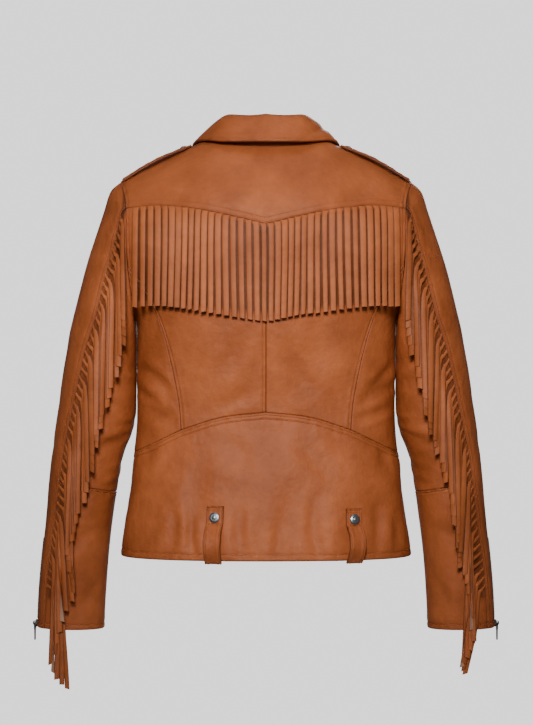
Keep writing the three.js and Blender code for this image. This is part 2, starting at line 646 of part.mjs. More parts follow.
// A tab over each shoulder seam, arched clear of the shoulder between its ends
function addTab(side, half) {
  const rows = [];
  const steps = 8;
  for (let i = 0; i <= steps; i += 1) {
    const t = i / steps;
    const x = TAB.outer + (TAB.inner - TAB.outer) * t;
    const wide = TAB.outerHalf + (TAB.innerHalf - TAB.outerHalf) * t;
    const tip = 1 - 0.55 * Math.max(0, (t - 0.86) / 0.14) ** 2;
    const lift = CLOTH + TAB.lift + TAB.arch * Math.sin(Math.PI * t);
    const row = [];
    for (let j = -3; j <= 3; j += 1) {
      const y = wide * tip * j / 3;
      const flat = Math.hypot(1, 0.5);
      const drop = y * y / (2 * 75) * 0.8;
      row.push({ point: vec(half * x, y, shoulderHeight(x) + (lift - drop) * flat),
        normal: vec(half * 0.5, 0, 1).normalize() });
    }
    rows.push(row);
  }
  addNode(`epaulette_${side}`, wallGeometry(rows, CLOTH), 'leather');
  const middle = rows[steps - 1][3];
  const place = {
    at: middle.point.clone().addScaledVector(middle.normal, SEAM_GAP + 0.35),
    turn: new THREE.Euler().setFromQuaternion(
      new THREE.Quaternion().setFromUnitVectors(vec(0, 1, 0), middle.normal)),
  };
  addNode(`epaulette_${side}_snap`, snapGeometry(5.5, 2.8), 'grey_metal', place);
}

// A domed snap with a small raised middle, standing on its local XZ plane
function snapGeometry(radius, height) {
  const profile = [[0, 0], [radius, 0], [radius, height * 0.3], [radius * 0.82, height * 0.66],
    [radius * 0.42, height * 0.72], [radius * 0.34, height], [0, height]];
  return new THREE.LatheGeometry(profile.map(([r, h]) => new THREE.Vector2(r, h)), 16);
}

// A strap stitched at its top and at the hem, standing off the lower back between
function addLoop({ name, x, lean, top }) {
  const bottom = HEM_Z - LOOP.below;
  const rows = [];
  for (const t of LOOP.rows) {
    const z = top + (bottom - top) * t;
    const bow = Math.PI * Math.max(0, t - LOOP.rows[3]) / (1 - LOOP.rows[3]);
    const stand = Math.max(0, Math.sin(bow)) ** 0.75;
    const centre = x + lean * t;
    const low = Math.max(HEM_Z, z);
    const under = [-1, -0.5, 0, 0.5, 1].map((s) => bodyPoint(-1, centre + s * LOOP.half, low));
    const slope = (under[4].point.y - under[0].point.y) / (2 * LOOP.half);
    const normal = vec(slope, -1, 0).normalize();
    const bulge = Math.max(...under.map((cell) => cell.point.clone().sub(under[2].point).dot(normal)));
    const lift = CLOTH * 1.15 + 0.45 + bulge + LOOP.arch * stand;
    rows.push([-1, 0, 1].map((s) => {
      const along = vec(-normal.y, normal.x, 0).multiplyScalar(s * LOOP.half);
      const point = under[2].point.clone().add(along).addScaledVector(normal, lift);
      point.z = z;
      return { point, normal: normal.clone() };
    }));
  }
  addNode(`belt_loop_${name}`, wallGeometry(rows, LOOP.thick), 'leather');
  const seat = rows[2][1].point;
  const facing = rows[2][2].point.clone().sub(rows[2][0].point)
    .cross(rows[1][1].point.clone().sub(rows[3][1].point)).normalize();
  const place = {
    at: seat.clone().addScaledVector(facing, SEAM_GAP + 0.15),
    turn: new THREE.Euler().setFromQuaternion(
      new THREE.Quaternion().setFromUnitVectors(vec(0, 1, 0), facing)),
  };
  addNode(`belt_loop_${name}_stud`, snapGeometry(7, 3.4), 'grey_metal', place);
}

// A comb: a narrow strip whose lower edge runs on into strands. Each strand is a list of sections,
// and the first is the strip's own edge; each section has outer and inner points at both its sides.
function combGeometry(strands) {
  const positions = [];
  const faces = [];
  const put = (p) => positions.push(p.x, p.y, p.z) / 3 - 1;
  const quad = (a, b, c, d) => faces.push(a, b, c, a, c, d);
  const ids = strands.map(({ strip, sections }) => ({
    strip: strip.map(put),
    sections: sections.map((section) => section.map(put)),
  }));
  const walls = (a, b) => {
    for (let i = 0; i < 4; i += 1) quad(a[i], a[(i + 1) % 4], b[(i + 1) % 4], b[i]);
  };
  ids.forEach(({ strip, sections }, n) => {
    const edge = sections[0];
    quad(strip[0], strip[1], edge[1], edge[0]);
    quad(strip[2], strip[3], edge[3], edge[2]);
    quad(strip[1], strip[0], strip[3], strip[2]);
    for (let i = 0; i < sections.length - 1; i += 1) walls(sections[i], sections[i + 1]);
    const tip = sections.at(-1);
    quad(tip[0], tip[1], tip[2], tip[3]);
    if (n === 0) quad(strip[0], edge[0], edge[3], strip[3]);
    const next = ids[n + 1];
    if (!next) {
      quad(strip[1], strip[2], edge[2], edge[1]);
      return;
    }
    const nextEdge = next.sections[0];
    quad(strip[1], next.strip[0], nextEdge[0], edge[1]);
    quad(strip[2], edge[2], nextEdge[3], next.strip[3]);
    quad(strip[1], strip[2], next.strip[3], next.strip[0]);
    quad(edge[1], nextEdge[0], nextEdge[3], edge[2]);
  });
  return closedGeometry(positions, faces);
}

const wave = (n, k) => Math.sin(n * 12.9898 + k * 4.1414);

function yokeSeamHeight(x) {
  return readTable(YOKE_SEAM, 'x', 'z', Math.abs(x));
}

// The yoke fringe hangs from the fullest part of the back
function addYokeFringe() {
  const half = 180;
  const pitch = 2 * half / YOKE_STRANDS;
  const strands = [];
  for (let n = 0; n < YOKE_STRANDS; n += 1) {
    const middle = -half + pitch * (n + 0.5);
    const seam = yokeSeamHeight(middle);
    const end = -220 - 18 * (1 - Math.abs(middle) / half) + 1.5 * wave(n, 1);
    const sides = [middle - FRINGE.yokeWidth / 2, middle + FRINGE.yokeWidth / 2];
    const deepest = (x, z) => {
      let most = 0;
      for (let at = yokeSeamHeight(x) - 1; at >= z - 5; at -= 4) {
        most = Math.max(most, -bodyPoint(-1, x, at).point.y);
      }
      return most;
    };
    const section = (z, swing) => {
      const outer = sides.map((x) => vec(x + swing, -Math.max(deepest(x, z), deepest(middle, z))
        - 0.8 - FRINGE.thick - 0.3, z));
      const inner = outer.map((p) => p.clone().add(vec(0, FRINGE.thick, 0)));
      return [outer[0], outer[1], inner[1], inner[0]];
    };
    const strip = sides.map((x) => bodyPoint(-1, x, yokeSeamHeight(x) - 1.2, 0.5 + FRINGE.thick).point);
    const stripIn = sides.map((x) => bodyPoint(-1, x, yokeSeamHeight(x) - 1.2, 0.5).point);
    const drops = [6, 22, 50, 90];
    const sections = drops.map((d) => section(seam - d, 0));
    sections.push(section(end, 0.3 * wave(n, 2)));
    strands.push({ strip: [strip[0], strip[1], stripIn[1], stripIn[0]], sections });
  }
  addNode('fringe_yoke', combGeometry(strands), 'suede_edge');
}

// How a sleeve strand leaves its seam and turns down: each of its edges goes across by a share of its
// reach and down by a drop, in mm
const STRAND_COURSE = [
  { upperDrop: -4, upperAcross: 0, lowerDrop: 4, lowerAcross: 0 },
  { upperDrop: -2, upperAcross: 0.5, lowerDrop: 5.5, lowerAcross: 0.55 },
  { upperDrop: 9, upperAcross: 1, lowerDrop: 15, lowerAcross: 1 },
  { upperDrop: 70, upperAcross: 1, lowerDrop: 71, lowerAcross: 1 },
];

// The step along a sleeve at which one column of its surface reaches a height
function stepAtHeight(half, column, z) {
  let low = 0;
  let high = 1.25;
  for (let i = 0; i < 30; i += 1) {
    const middle = (low + high) / 2;
    if (sleevePoint(half, loops[half], middle, column).z > z) low = middle;
    else high = middle;
  }
  return (low + high) / 2;
}

// The back of a sleeve cut across at a height, from outside its seam to near its inner edge
const slices = new Map();
function sleeveSlice(half, z) {
  const key = `${half},${z.toFixed(2)}`;
  if (!slices.has(key)) {
    slices.set(key, [8, 7, 6, 5, 4, 3, 2, 1].map((column) => {
      const step = stepAtHeight(half, column, z);
      const point = sleevePoint(half, loops[half], step, column);
      return { column, step, x: Math.abs(point.x), y: point.y };
    }));
  }
  return slices.get(key);
}

const sliceSeam = (half, z) => sleeveSlice(half, z)[8 - BACK_SEAM_COLUMN];

// A strand lies on the sleeve up to its rearmost line and hangs free beyond; each strand passes in
// front of the roots below it
function strandPoint(half, x, z, drop, lift) {
  let y = 0;
  for (const below of drop > 6 ? [0, 15, 30] : [0]) {
    const slice = sleeveSlice(half, z - below);
    for (let i = 1; i < slice.length && (i === 1 || slice[i - 1].x > x); i += 1) {
      const share = Math.min(1, (slice[i - 1].x - x) / (slice[i - 1].x - slice[i].x));
      y = Math.min(y, slice[i - 1].y + (slice[i].y - slice[i - 1].y) * Math.max(0, share));
    }
  }
  return vec(half * x, y - lift - FRINGE.shingle * drop, z);
}

function addSleeveFringe(side, half) {
  const strands = [];
  const topZ = sleevePoint(half, loops[half], SLEEVE_FRINGE_START, BACK_SEAM_COLUMN).z;
  const count = Math.round((topZ - SLEEVE_FRINGE_END_Z) / FRINGE.sleevePitch);
  for (let n = 0; n <= count; n += 1) {
    const root = topZ - FRINGE.sleevePitch * n;
    const ease = 3.2 * Math.max(0, 1 - n / 10);
    const hangX = Math.max(SLEEVE_FRINGE_INNER, sliceSeam(half, root).x - 19 - 2.5 * wave(n, 3));
    const corner = (drop, across, sign, lift) => {
      const z = root - drop;
      const startX = sliceSeam(half, z).x;
      const spread = sign * across * across * FRINGE.sleeveWidth / 2;
      return strandPoint(half, startX + (hangX - startX) * across + spread, z, drop, lift);
    };
    const section = (row) => {
      const pair = (lift) => [
        corner(row.upperDrop, row.upperAcross, -1, lift + ease),
        corner(row.lowerDrop, row.lowerAcross, 1, lift + ease),
      ];
      const [outerUp, outerLow] = pair(FRINGE.lift + FRINGE.thick);
      const [innerUp, innerLow] = pair(FRINGE.lift);
      return [outerUp, outerLow, innerLow, innerUp];
    };
    const sections = STRAND_COURSE.map(section);
    const length = SLEEVE_FRINGE_LENGTH + 6 * wave(n, 4);
    sections.push(section({ upperDrop: length, upperAcross: 1, lowerDrop: length, lowerAcross: 1 }));
    const seat = (drop, lift) => sleeveCell(half, loops[half], sliceSeam(half, root - drop).step,
      BACK_SEAM_COLUMN + 0.25, lift + ease / 2).point;
    const thick = FRINGE.thick;
    const strip = [seat(-4, 0.6 + thick), seat(4, 0.9 + thick), seat(4, 0.9), seat(-4, 0.6)];
    strands.push({ strip, sections });
  }
  addNode(`fringe_sleeve_${side}`, combGeometry(strands), 'suede_edge');
}

// A flat plate of an outline given in its own plane, with holes, of a thickness centred on it
function plate(outline, holes, thickness) {
  const wound = (points, clockwise) => {
    const flat = points.map(([x, y]) => new THREE.Vector2(x, y));
    return THREE.ShapeUtils.isClockWise(flat) === clockwise ? flat : flat.reverse();
  };
  const shape = new THREE.Shape(wound(outline, false));
  holes.forEach((hole) => shape.holes.push(new THREE.Path(wound(hole, true))));
  const geometry = new THREE.ExtrudeGeometry(shape, { depth: thickness, bevelEnabled: false });
  return geometry.translate(0, 0, -thickness / 2);
}

function toSolid(geometry) {
  const merged = new Map();
  const positions = geometry.getAttribute('position');
  const vertices = [];
  const indices = [];
  const order = geometry.index ? Array.from(geometry.index.array) : [...Array(positions.count).keys()];
  order.forEach((i) => {
    const p = vec(positions.getX(i), positions.getY(i), positions.getZ(i));
    const key = `${p.x.toFixed(4)},${p.y.toFixed(4)},${p.z.toFixed(4)}`;
    if (!merged.has(key)) {
      merged.set(key, vertices.length / 3);
      vertices.push(p.x, p.y, p.z);
    }
    indices.push(merged.get(key));
  });
  return new wasm.Manifold(new wasm.Mesh({
    numProp: 3, vertProperties: new Float32Array(vertices), triVerts: new Uint32Array(indices),
  }));
}

function fromSolid(solid) {
  const mesh = solid.getMesh();
  const geometry = new THREE.BufferGeometry();
  geometry.setAttribute('position', new THREE.BufferAttribute(new Float32Array(mesh.vertProperties), 3));
  geometry.setIndex(Array.from(mesh.triVerts));
  geometry.computeVertexNormals();
  return geometry;
}

// A slider with its crown: X is out of the cloth, Z runs up the zip, and the pull's bar lies along Y
function sliderGeometry() {
  const half = 5;
  const outline = [[-half, -2.6], [half * 0.4, -4.2], [half, -3], [half, 3], [half * 0.4, 4.2],
    [-half, 2.6]];
  const body = plate(outline, [], PULL.plate).rotateY(Math.PI / 2).translate(PULL.plate / 2, 0, 0);
  const sunk = PULL.plate - 0.6;
  const top = PULL.plate + PULL.window + PULL.crown;
  const foot = PULL.window / 2 + 1.6;
  const crownOutline = [[sunk, -foot], [top - 1, -foot + 0.4], [top, -foot + 1.4], [top, foot - 1.4],
    [top - 1, foot - 0.4], [sunk, foot]];
  const low = PULL.plate + 0.05;
  const high = PULL.plate + PULL.window;
  const reach = PULL.window / 2;
  const window = [[low, -reach], [high, -reach], [high, reach], [low, reach]];
  const crown = plate(crownOutline, [window], PULL.wide).rotateX(Math.PI / 2);
  return fromSolid(toSolid(body).add(toSolid(crown)));
}

// A pull tab hanging from its bar, in the YZ plane with the bar on the Y axis
function pullGeometry() {
  const end = -PULL.length;
  const outline = [[-PULL.half, PULL.bar], [PULL.half, PULL.bar], [PULL.half, -7], [2.2, -10],
    [1.7, end + 1.5], [0.8, end], [-0.8, end], [-1.7, end + 1.5], [-2.2, -10], [-PULL.half, -7]];
  const inside = PULL.half - 1.2;
  const hole = [[-inside, -PULL.bar], [inside, -PULL.bar], [inside, -PULL.bar - PULL.hole],
    [-inside, -PULL.bar - PULL.hole]];
  return plate(outline, [hole], 2 * PULL.bar).rotateY(Math.PI / 2).rotateX(Math.PI / 2);
}

// A slider and its pull on a zip whose cloth faces along an angle from +X, tilted from upright
function addSliderAndPull(name, at, heading, tilt) {
  const turn = new THREE.Euler(0, tilt, heading, 'ZYX');
  addNode(`${name}_slider`, sliderGeometry(), 'dark_metal', { at, turn });
  const axis = vec(PULL.plate + PULL.window / 2, 0, 0).applyEuler(turn).add(at);
  addNode(`${name}_pull`, pullGeometry(), 'dark_metal', { at: axis, turn });
}

function addFrontZip() {
  const rows = [];
  const top = -104;
  const steps = 12;
  for (let i = 0; i <= steps; i += 1) {
    const z = top + (HEM_Z + 4 - top) * i / steps;
    rows.push([-1, 1].map((s) => bodyPoint(1, s * ZIP_CHAIN / 2, z)));
  }
  addNode('front_zip_chain', wallGeometry(rows, CLOTH), 'dark_metal');
  const seat = bodyPoint(1, 0, top + 7.5);
  const tilt = Math.asin(Math.max(-1, Math.min(1, -seat.normal.z)));
  const at = seat.point.clone().addScaledVector(seat.normal, 0.4);
  addSliderAndPull('front_zip', at, Math.PI / 2, tilt);
}

function addCuffZip(side, half) {
  const loop = loops[half];
  const bottom = 1 - CUFF_ZIP_END / SLEEVE_LENGTH;
  const steps = 5;
  const rows = [];
  for (let i = 0; i <= steps; i += 1) {
    const step = bottom - CUFF_ZIP_LENGTH * (1 - i / steps) / SLEEVE_LENGTH;
    rows.push([-0.16, 0.16].map((c) => sleeveCell(half, loop, step, CUFF_ZIP_COLUMN + c, 1.3 + 0.15)));
  }
  addNode(`cuff_zip_${side}_chain`, wallGeometry(rows, 1.3), 'dark_metal');
  const seat = sleeveCell(half, loop, bottom + 6 / SLEEVE_LENGTH, CUFF_ZIP_COLUMN, 0.5);
  const heading = Math.atan2(seat.normal.y, seat.normal.x);
  addSliderAndPull(`cuff_zip_${side}`, seat.point, heading, 0);
}

addYoke();
addLowerBack();
for (const [side, half] of [['left', -1], ['right', 1]]) {
  addBackHalf(side, half);
  addFront(side, half);
  addSleeve(side, half);
  addTab(side, half);
  addSleeveFringe(side, half);
  addCuffZip(side, half);
}
addCollar();
LOOPS.forEach(addLoop);
addYokeFringe();
addFrontZip();

export default group;
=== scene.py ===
"""The look of the short fringed leather jacket: fine cloth shells with creases, cut strands,
stitching and metal trim, on the frame that the solids give. Sizes are in millimetres until a
mesh is made; the back of the jacket faces -Y."""
import math
import random

import bpy
import numpy as np
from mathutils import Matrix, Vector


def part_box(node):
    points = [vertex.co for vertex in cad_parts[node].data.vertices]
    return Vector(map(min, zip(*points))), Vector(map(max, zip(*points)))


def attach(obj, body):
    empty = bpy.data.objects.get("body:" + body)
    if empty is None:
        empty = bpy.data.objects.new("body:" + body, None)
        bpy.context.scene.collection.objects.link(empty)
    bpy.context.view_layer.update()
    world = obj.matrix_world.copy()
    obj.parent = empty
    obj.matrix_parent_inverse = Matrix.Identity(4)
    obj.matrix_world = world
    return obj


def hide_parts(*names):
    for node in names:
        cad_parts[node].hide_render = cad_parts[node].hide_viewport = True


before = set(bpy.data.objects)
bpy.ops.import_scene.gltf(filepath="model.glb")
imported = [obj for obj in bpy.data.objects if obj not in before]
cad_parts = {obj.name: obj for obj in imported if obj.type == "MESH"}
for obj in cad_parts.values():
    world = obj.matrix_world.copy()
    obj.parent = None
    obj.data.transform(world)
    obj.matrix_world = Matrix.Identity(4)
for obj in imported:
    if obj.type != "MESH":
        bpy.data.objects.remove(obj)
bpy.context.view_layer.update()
random.seed(11)

BODY = "jacket"
# The left and the right side, as seen from behind, with the sign of x there
SIDES = (("left", -1), ("right", 1))
CLOTH = 2.0
NECK_HALF = 72.0
SHOULDER_TOP = 18.0
SHOULDER_HALF = 201.0
# How steep the shoulders are, how softly that starts at the neck, and over what height below them the
# back (-1) and the front (1) swell out
SHOULDER_SLOPE = 0.5
SHOULDER_EASE = 12.0
ROUNDING = {-1: 115.0, 1: 95.0}
FRONT_NECK_DROP = 93.0
UNDERARM = -235.0
HEM = -560.0
ZIP_HALF = 4.0
FRONT_ZIP_TOP = -116.0
TOOTH_PITCH = 1.5
SLEEVE_LENGTH = 620.0
# Columns round a sleeve: its back seam, its outer edge, its front seam and the way round
BACK_SEAM, TOP, FRONT_SEAM, LAST = 6, 11, 15, 20
# The share of a sleeve over which it grows out of the armhole
ARMHOLE_BLEND = 0.3
# Cells across the back's pieces and down them
CENTRE_COLUMNS, SIDE_COLUMNS, PRINCESS_ROWS, LOWER_ROWS = 9, 3, 7, 6

# Half the torso's width at each height, and how far its back and its front stand out
WIDTHS = [(-45, 250), (-100, 246), (-140, 240), (-160, 232), (-190, 215), (-215, 196), (UNDERARM, 180),
          (-265, 178), (-370, 178), (-402, 180), (-435, 184), (-468, 187), (-501, 192), (-534, 197),
          (HEM, 200)]
HEM_HALF = WIDTHS[-1][1]
BACK_DEPTHS = [(18, 70), (-40, 88), (-78, 96), (-120, 103), (-180, 102), (-250, 95), (-300, 86),
               (-370, 78), (-450, 90), (HEM, 104)]
FRONT_DEPTHS = [(18, 62), (-40, 60), (-78, 62), (-120, 80), (-180, 104), (-250, 118), (-300, 112),
                (-370, 98), (-450, 99), (HEM, 106)]
# Seams as x and z seen from behind
YOKE_SEAM = [(0, -110), (46, -99), (94, -89), (148, -83), (190, -86)]
ARCH_SEAM = [(0, -362), (60, -369), (115, -386), (181, -418)]
ARCH_END = ARCH_SEAM[3][1]
PRINCESS = [(115, -386), (118, -350), (127, -302), (138, -260), (150, -226), (187, -165)]
BACK_ARM = [(180, UNDERARM), (181, -215), (184, -190), (187, -165), (188.5, -140), (189.5, -112),
            (190, -86), (191.5, -74), (194, -64), (197, -56), (199.4, -50), (SHOULDER_HALF, None)]
FRONT_ARM = [(SHOULDER_HALF, None), (198, -52), (193, -62), (186, -82), (178, -108), (173, -138),
             (172, -168), (174, -195), (177, -218), (180, UNDERARM)]
# A sleeve's stations: step, outer x and z, inner x and z, half depth, middle y, angle of the back seam
SLEEVE = [
    (0, 201, -46.6, 180.5, -236, 66, 0, 96), (0.03, 214, -59, 180.3, -243, 64, 0, 94),
    (0.08, 223.5, -87, 179.6, -254, 62, 1, 90), (0.13, 234.6, -120, 179, -268, 61, 2, 84),
    (0.19, 247, -158, 178.9, -287, 60, 3, 77), (0.26, 259, -204, 178.9, -312, 59, 4, 71),
    (0.34, 270.5, -252, 178.9, -338, 57, 5, 64), (0.42, 279, -300, 179.8, -366, 55, 6, 60),
    (0.5, 286, -346, 185.5, -392, 53, 8, 57), (0.57, 292, -390, 197.5, -422, 51, 10, 54),
    (0.64, 297.5, -432, 203.5, -455, 49, 12, 52), (0.671, 300, -455, 206.8, -473, 48, 13.6, 51),
    (0.77, 306, -518, 214.5, -528, 45, 19, 48), (0.85, 311.5, -565, 219.3, -572, 42, 23, 45),
    (0.93, 316, -615, 223, -619, 40, 27, 43), (1, 318.5, -663, 225.5, -664.5, 38, 31, 42),
]
ELBOW_STEP = 0.671
# Where a cuff's zip lies: its column round the sleeve and the steps where its teeth start and end
CUFF_ZIP = {"column": 11.45, "start": 0.806, "end": 0.983}
# The collar at angles round the neck: rise, top x and y, and the fall's edge x, y and z
COLLAR = [(0, 40, 0, -35, 0, -62, 4.5), (45, 35, 42, -26, 58, -50, 5.5), (90, 24, 58, 4, 99, -2, 9),
          (112, 21, 55, 36, 105, 43, -12), (135, 20, 45, 51, 97, 68, -48), (176, 20, 5, 58, 62, 92, -108)]
# Creases of the collar's fall: start and end as mm round it and mm down it, width and depth
COLLAR_CREASES = [(60, 20, 120, 52, 9, 0.9), (190, 24, 250, 46, 11, 0.8), (330, 50, 390, 24, 10, 0.9),
                  (420, 20, 470, 56, 8, 0.8)]
# Folds of the body: x and z seen from the side they lie on, lean, length, width, height
BODY_FOLDS = [(-124, -500, 4, 75, 16, 3.5), (-50, -520, -3, 60, 15, 3), (30, -505, 2, 70, 18, -3),
              (96, -520, 5, 62, 14, 3.5), (150, -490, -6, 68, 15, -3), (-90, -470, 7, 60, 14, -2.5),
              (60, -300, 12, 60, 20, -2.5), (-64, -310, -10, 66, 22, 2.5)]
# Folds of a sleeve: step, angle, length, reach round it in degrees, height
SLEEVE_FOLDS = [(0.36, 130, 0.05, 40, -2.5), (0.5, 135, 0.035, 40, -2.5), (0.57, 120, 0.03, 45, 2.5),
                (0.64, 110, 0.035, 45, -2.5), (0.72, -120, 0.04, 45, 2.5), (0.3, -140, 0.05, 40, 2)]

# Creases: start and end in mm on the cloth seen from its own side, width and depth, all uneven
BACK_CREASES = [
    (-176, -300, -128, -338, 7, 1.6), (-178, -330, -140, -352, 5, 1.2), (-170, -352, -118, -372, 8, 1.5),
    (176, -292, 134, -330, 6, 1.5), (178, -322, 128, -350, 8, 1.7), (172, -356, 120, -374, 6, 1.2),
    (-30, -250, -84, -330, 12, 1.4), (26, -262, 70, -344, 13, 1.3), (-12, -330, -70, -356, 9, 0.9),
    (-150, -392, -170, -440, 9, 1.5), (158, -400, 172, -452, 8, 1.4), (-128, -478, -132, -556, 8, 1.7),
    (-100, -500, -96, -560, 6, 1.2), (-36, -486, -33, -560, 9, 1.5), (14, -512, 10, -560, 7, 1.0),
    (66, -470, 72, -560, 10, 1.6), (152, -482, 148, -558, 8, 1.6), (172, -500, 178, -558, 6, 1.1),
    (-160, -60, -104, -78, 9, 1.0), (150, -52, 96, -80, 10, 1.1), (-40, -30, -10, -62, 10, 0.8),
    (52, -26, 20, -70, 11, 0.8), (-60, -400, -20, -438, 14, 1.0), (40, -396, 92, -448, 13, 1.1),
]
FRONT_CREASES = [
    (-176, -306, -120, -350, 7, 1.6), (-174, -342, -110, -372, 8, 1.4), (176, -298, 126, -346, 7, 1.5),
    (174, -340, 118, -366, 6, 1.3), (-160, -200, -104, -236, 9, 1.4), (162, -206, 100, -230, 10, 1.4),
    (-60, -300, -22, -372, 12, 1.2), (58, -310, 20, -384, 11, 1.2), (-120, -470, -126, -556, 8, 1.6),
    (-60, -490, -56, -558, 9, 1.3), (44, -480, 50, -558, 8, 1.3), (120, -476, 128, -556, 9, 1.5),
    (-150, -90, -110, -130, 8, 1.1), (152, -94, 108, -136, 9, 1.1),
]
# Creases of a sleeve: start and end as mm along it and degrees round it from the outer edge, with the
# mm that a degree is taken for
PER_DEGREE = 0.85
SLEEVE_CREASES = [
    (40, -150, 96, -60, 8, 1.5), (66, -168, 150, -96, 9, 1.7), (120, 176, 176, -120, 8, 1.5),
    (180, -176, 236, -110, 10, 1.6), (262, 168, 300, -140, 8, 1.8), (296, 172, 338, -118, 7, 2.0),
    (330, -178, 356, -98, 9, 1.8), (352, 160, 392, -130, 7, 1.9), (386, 150, 420, -124, 8, 1.6),
    (300, -20, 344, 40, 11, 1.3), (350, -36, 382, 20, 9, 1.2), (408, -70, 452, -12, 10, 1.1),
    (470, -120, 520, -60, 10, 1.2), (510, -30, 556, -70, 9, 1.0), (548, -150, 592, -110, 8, 1.0),
    (60, 20, 130, 70, 12, 1.3), (150, 40, 226, 96, 12, 1.4), (232, 60, 290, 120, 10, 1.5),
    (318, 90, 352, 150, 9, 1.6), (372, 70, 410, 140, 9, 1.4), (210, -34, 262, 22, 13, 0.9),
]

# Strands: thickness and widths, and for a sleeve's how far they stand off, how much further for each mm
# that they hang over the next, and how far apart their roots are
FRINGE = {"thick": 1.0, "lift": 1.2, "shingle": 0.13, "yoke_width": 9.0, "sleeve_width": 8.0,
          "pitch": 11.5}
# The yoke fringe: its strands, half its width, the height of its ends at the sides, how much lower they
# are in the middle, and the drops below the seam where a strand has a row of points
YOKE_FRINGE = {"strands": 38, "half": 180, "end": -220, "bow": 18}
YOKE_DROPS = [0.6, 3, 6, 10, 15, 22, 30, 40, 50, 62, 75, 88, 100, 112, 124, 136]
# A sleeve's fringe: its length, the step of its first root, the height of its last root, and the x that
# no strand hangs inside of before it sways
SLEEVE_FRINGE_LENGTH = 148.0
SLEEVE_FRINGE_START = 0.035
SLEEVE_FRINGE_END = -602.0
SLEEVE_FRINGE_INNER = 192.5
# Neighbouring sleeve strands gather in columns this far apart
GATHER = 9.4
# Strands that show their rough side, counted from the lowest
TWISTED = (3, 8)
# How a sleeve strand leaves its seam: places along it, and for these the drop of its upper and its lower
# edge, each with how far that edge has come from the seam to where it hangs
COURSE = [(0, -2.7, 0, 2.7, 0), (1, 2.5, 0.34, 8, 0.42), (2, 15, 0.9, 20, 0.94), (3, 74, 1, 75, 1),
          (4, 148, 1, 148, 1)]
COURSE_PLACES = [0, 0.35, 0.7, 1, 1.3, 1.6, 2, 2.2, 2.45, 2.7, 3, 3.2, 3.4, 3.6, 3.8, 4]
# A shoulder tab: x of its ends, half widths there, and how far it stands off and arches
TAB = {"outer": 197, "inner": 103, "outer_half": 22, "inner_half": 17, "lift": 0.4, "arch": 4.5}
# Belt loops: x, lean and top of each, then for both the half width, how far they bow out and end below
# the hem, and the shares of the length where the bow starts, the stud sits and the tack is sewn
LOOPS = [("left", -67.5, -2.4, -487), ("right", 117.5, 0, -491)]
LOOP = {"half": 11.5, "arch": 14.0, "below": 4.0, "seat": 0.31, "stud": 0.2, "tack": 0.28}
# A snap's outline as shares of its radius and height, and the sides of its rings
SNAP_PROFILE = [(0, 1), (0.26, 1), (0.32, 0.92), (0.36, 0.74), (0.44, 0.70), (0.62, 0.76), (0.72, 0.72),
                (0.80, 0.58), (0.86, 0.55), (0.95, 0.48), (1, 0.34), (1, 0.02), (0, 0.02)]
SNAP_SIDES = 40
# How far grid lines lie from a panel's edge, close by for the seam and its stitching
NEAR_EDGE = [0, 0.4, 0.9, 1.6, 2.4, 3.1, 3.8, 4.6, 5.4, 6.4, 7.4, 8.2, 9, 9.8, 11, 13.5]
# The angle that parts two smooth faces, and how wide a strip by a seam has no creases
SHARP_ANGLE = 52
CALM_MARGIN = 9
# Edges that are turned, with no stitching
TURNED = {"top": (), "bottom": (), "left": (), "right": ()}
# How far apart stitches are, how long, and how thick the thread
STITCH = {"pitch": 3.5, "length": 2.5, "radius": 0.5}
# What the depths of all creases are multiplied by
CREASE_DEPTH = 1.9
# How bright the lit backdrop behind the jacket and the rest of the surroundings are
BACKDROP = 1.56
AMBIENT = 0.12
# Lights: place in metres, size, power, colour, spread in degrees and the height that each faces
LIGHTS = [("upper_key", (-0.1, -2.7, 0.65), 0.5, 2.601, (1, 0.985, 0.985), 31, -0.12),
          ("lower_key", (-0.1, -2.7, 0.35), 0.5, 1.683, (1, 0.985, 0.985), 31, -0.46),
          ("top", (0.1, -0.5, 1.8), 1.0, 12, (1, 1, 1), 180, -0.3),
          ("far", (0.4, 2.4, 0.6), 1.2, 45, (1, 1, 1), 180, -0.3)]
# The grey floor's half width and half depth and its height, and the camera, in metres
FLOOR = (0.722, 0.38, -0.9)
CAMERA = {"place": (0.0007, -3.0, -0.295), "sensor": 24, "lens": 71.96}
# How far the leather's colour goes up and down in small specks
MOTTLE = 0.1
# How much darker painted shade makes the leather behind the fringes
PAINTED_SHADE_BEHIND_FRINGE = 1.85


def hermite(t):
    """The weights of a smooth curve's ends and of its slopes there."""
    return 2 * t**3 - 3 * t**2 + 1, 3 * t**2 - 2 * t**3, t**3 - 2 * t**2 + t, t**3 - t**2


def reader(rows, column=1):
    """A smooth curve through one column of a table, over its first column, straight past both ends."""
    order = sorted(rows, key=lambda row: row[0])
    keys = np.array([row[0] for row in order], float)
    values = np.array([row[column] for row in order], float)
    last = len(order) - 1
    before = np.maximum(np.arange(last + 1) - 1, 0)
    after = np.minimum(np.arange(last + 1) + 1, last)
    slopes = (values[after] - values[before]) / (keys[after] - keys[before])

    def read(at):
        at = np.asarray(at, float)
        i = np.clip(np.searchsorted(keys, at, side="right") - 1, 0, last - 1)
        span = keys[i + 1] - keys[i]
        t = (at - keys[i]) / span
        start, end, start_slope, end_slope = hermite(np.clip(t, 0, 1))
        value = start * values[i] + end * values[i + 1]
        value = value + (start_slope * slopes[i] + end_slope * slopes[i + 1]) * span
        value = value + np.minimum(t, 0) * slopes[i] * span
        return value + np.maximum(t - 1, 0) * slopes[i + 1] * span

    return read


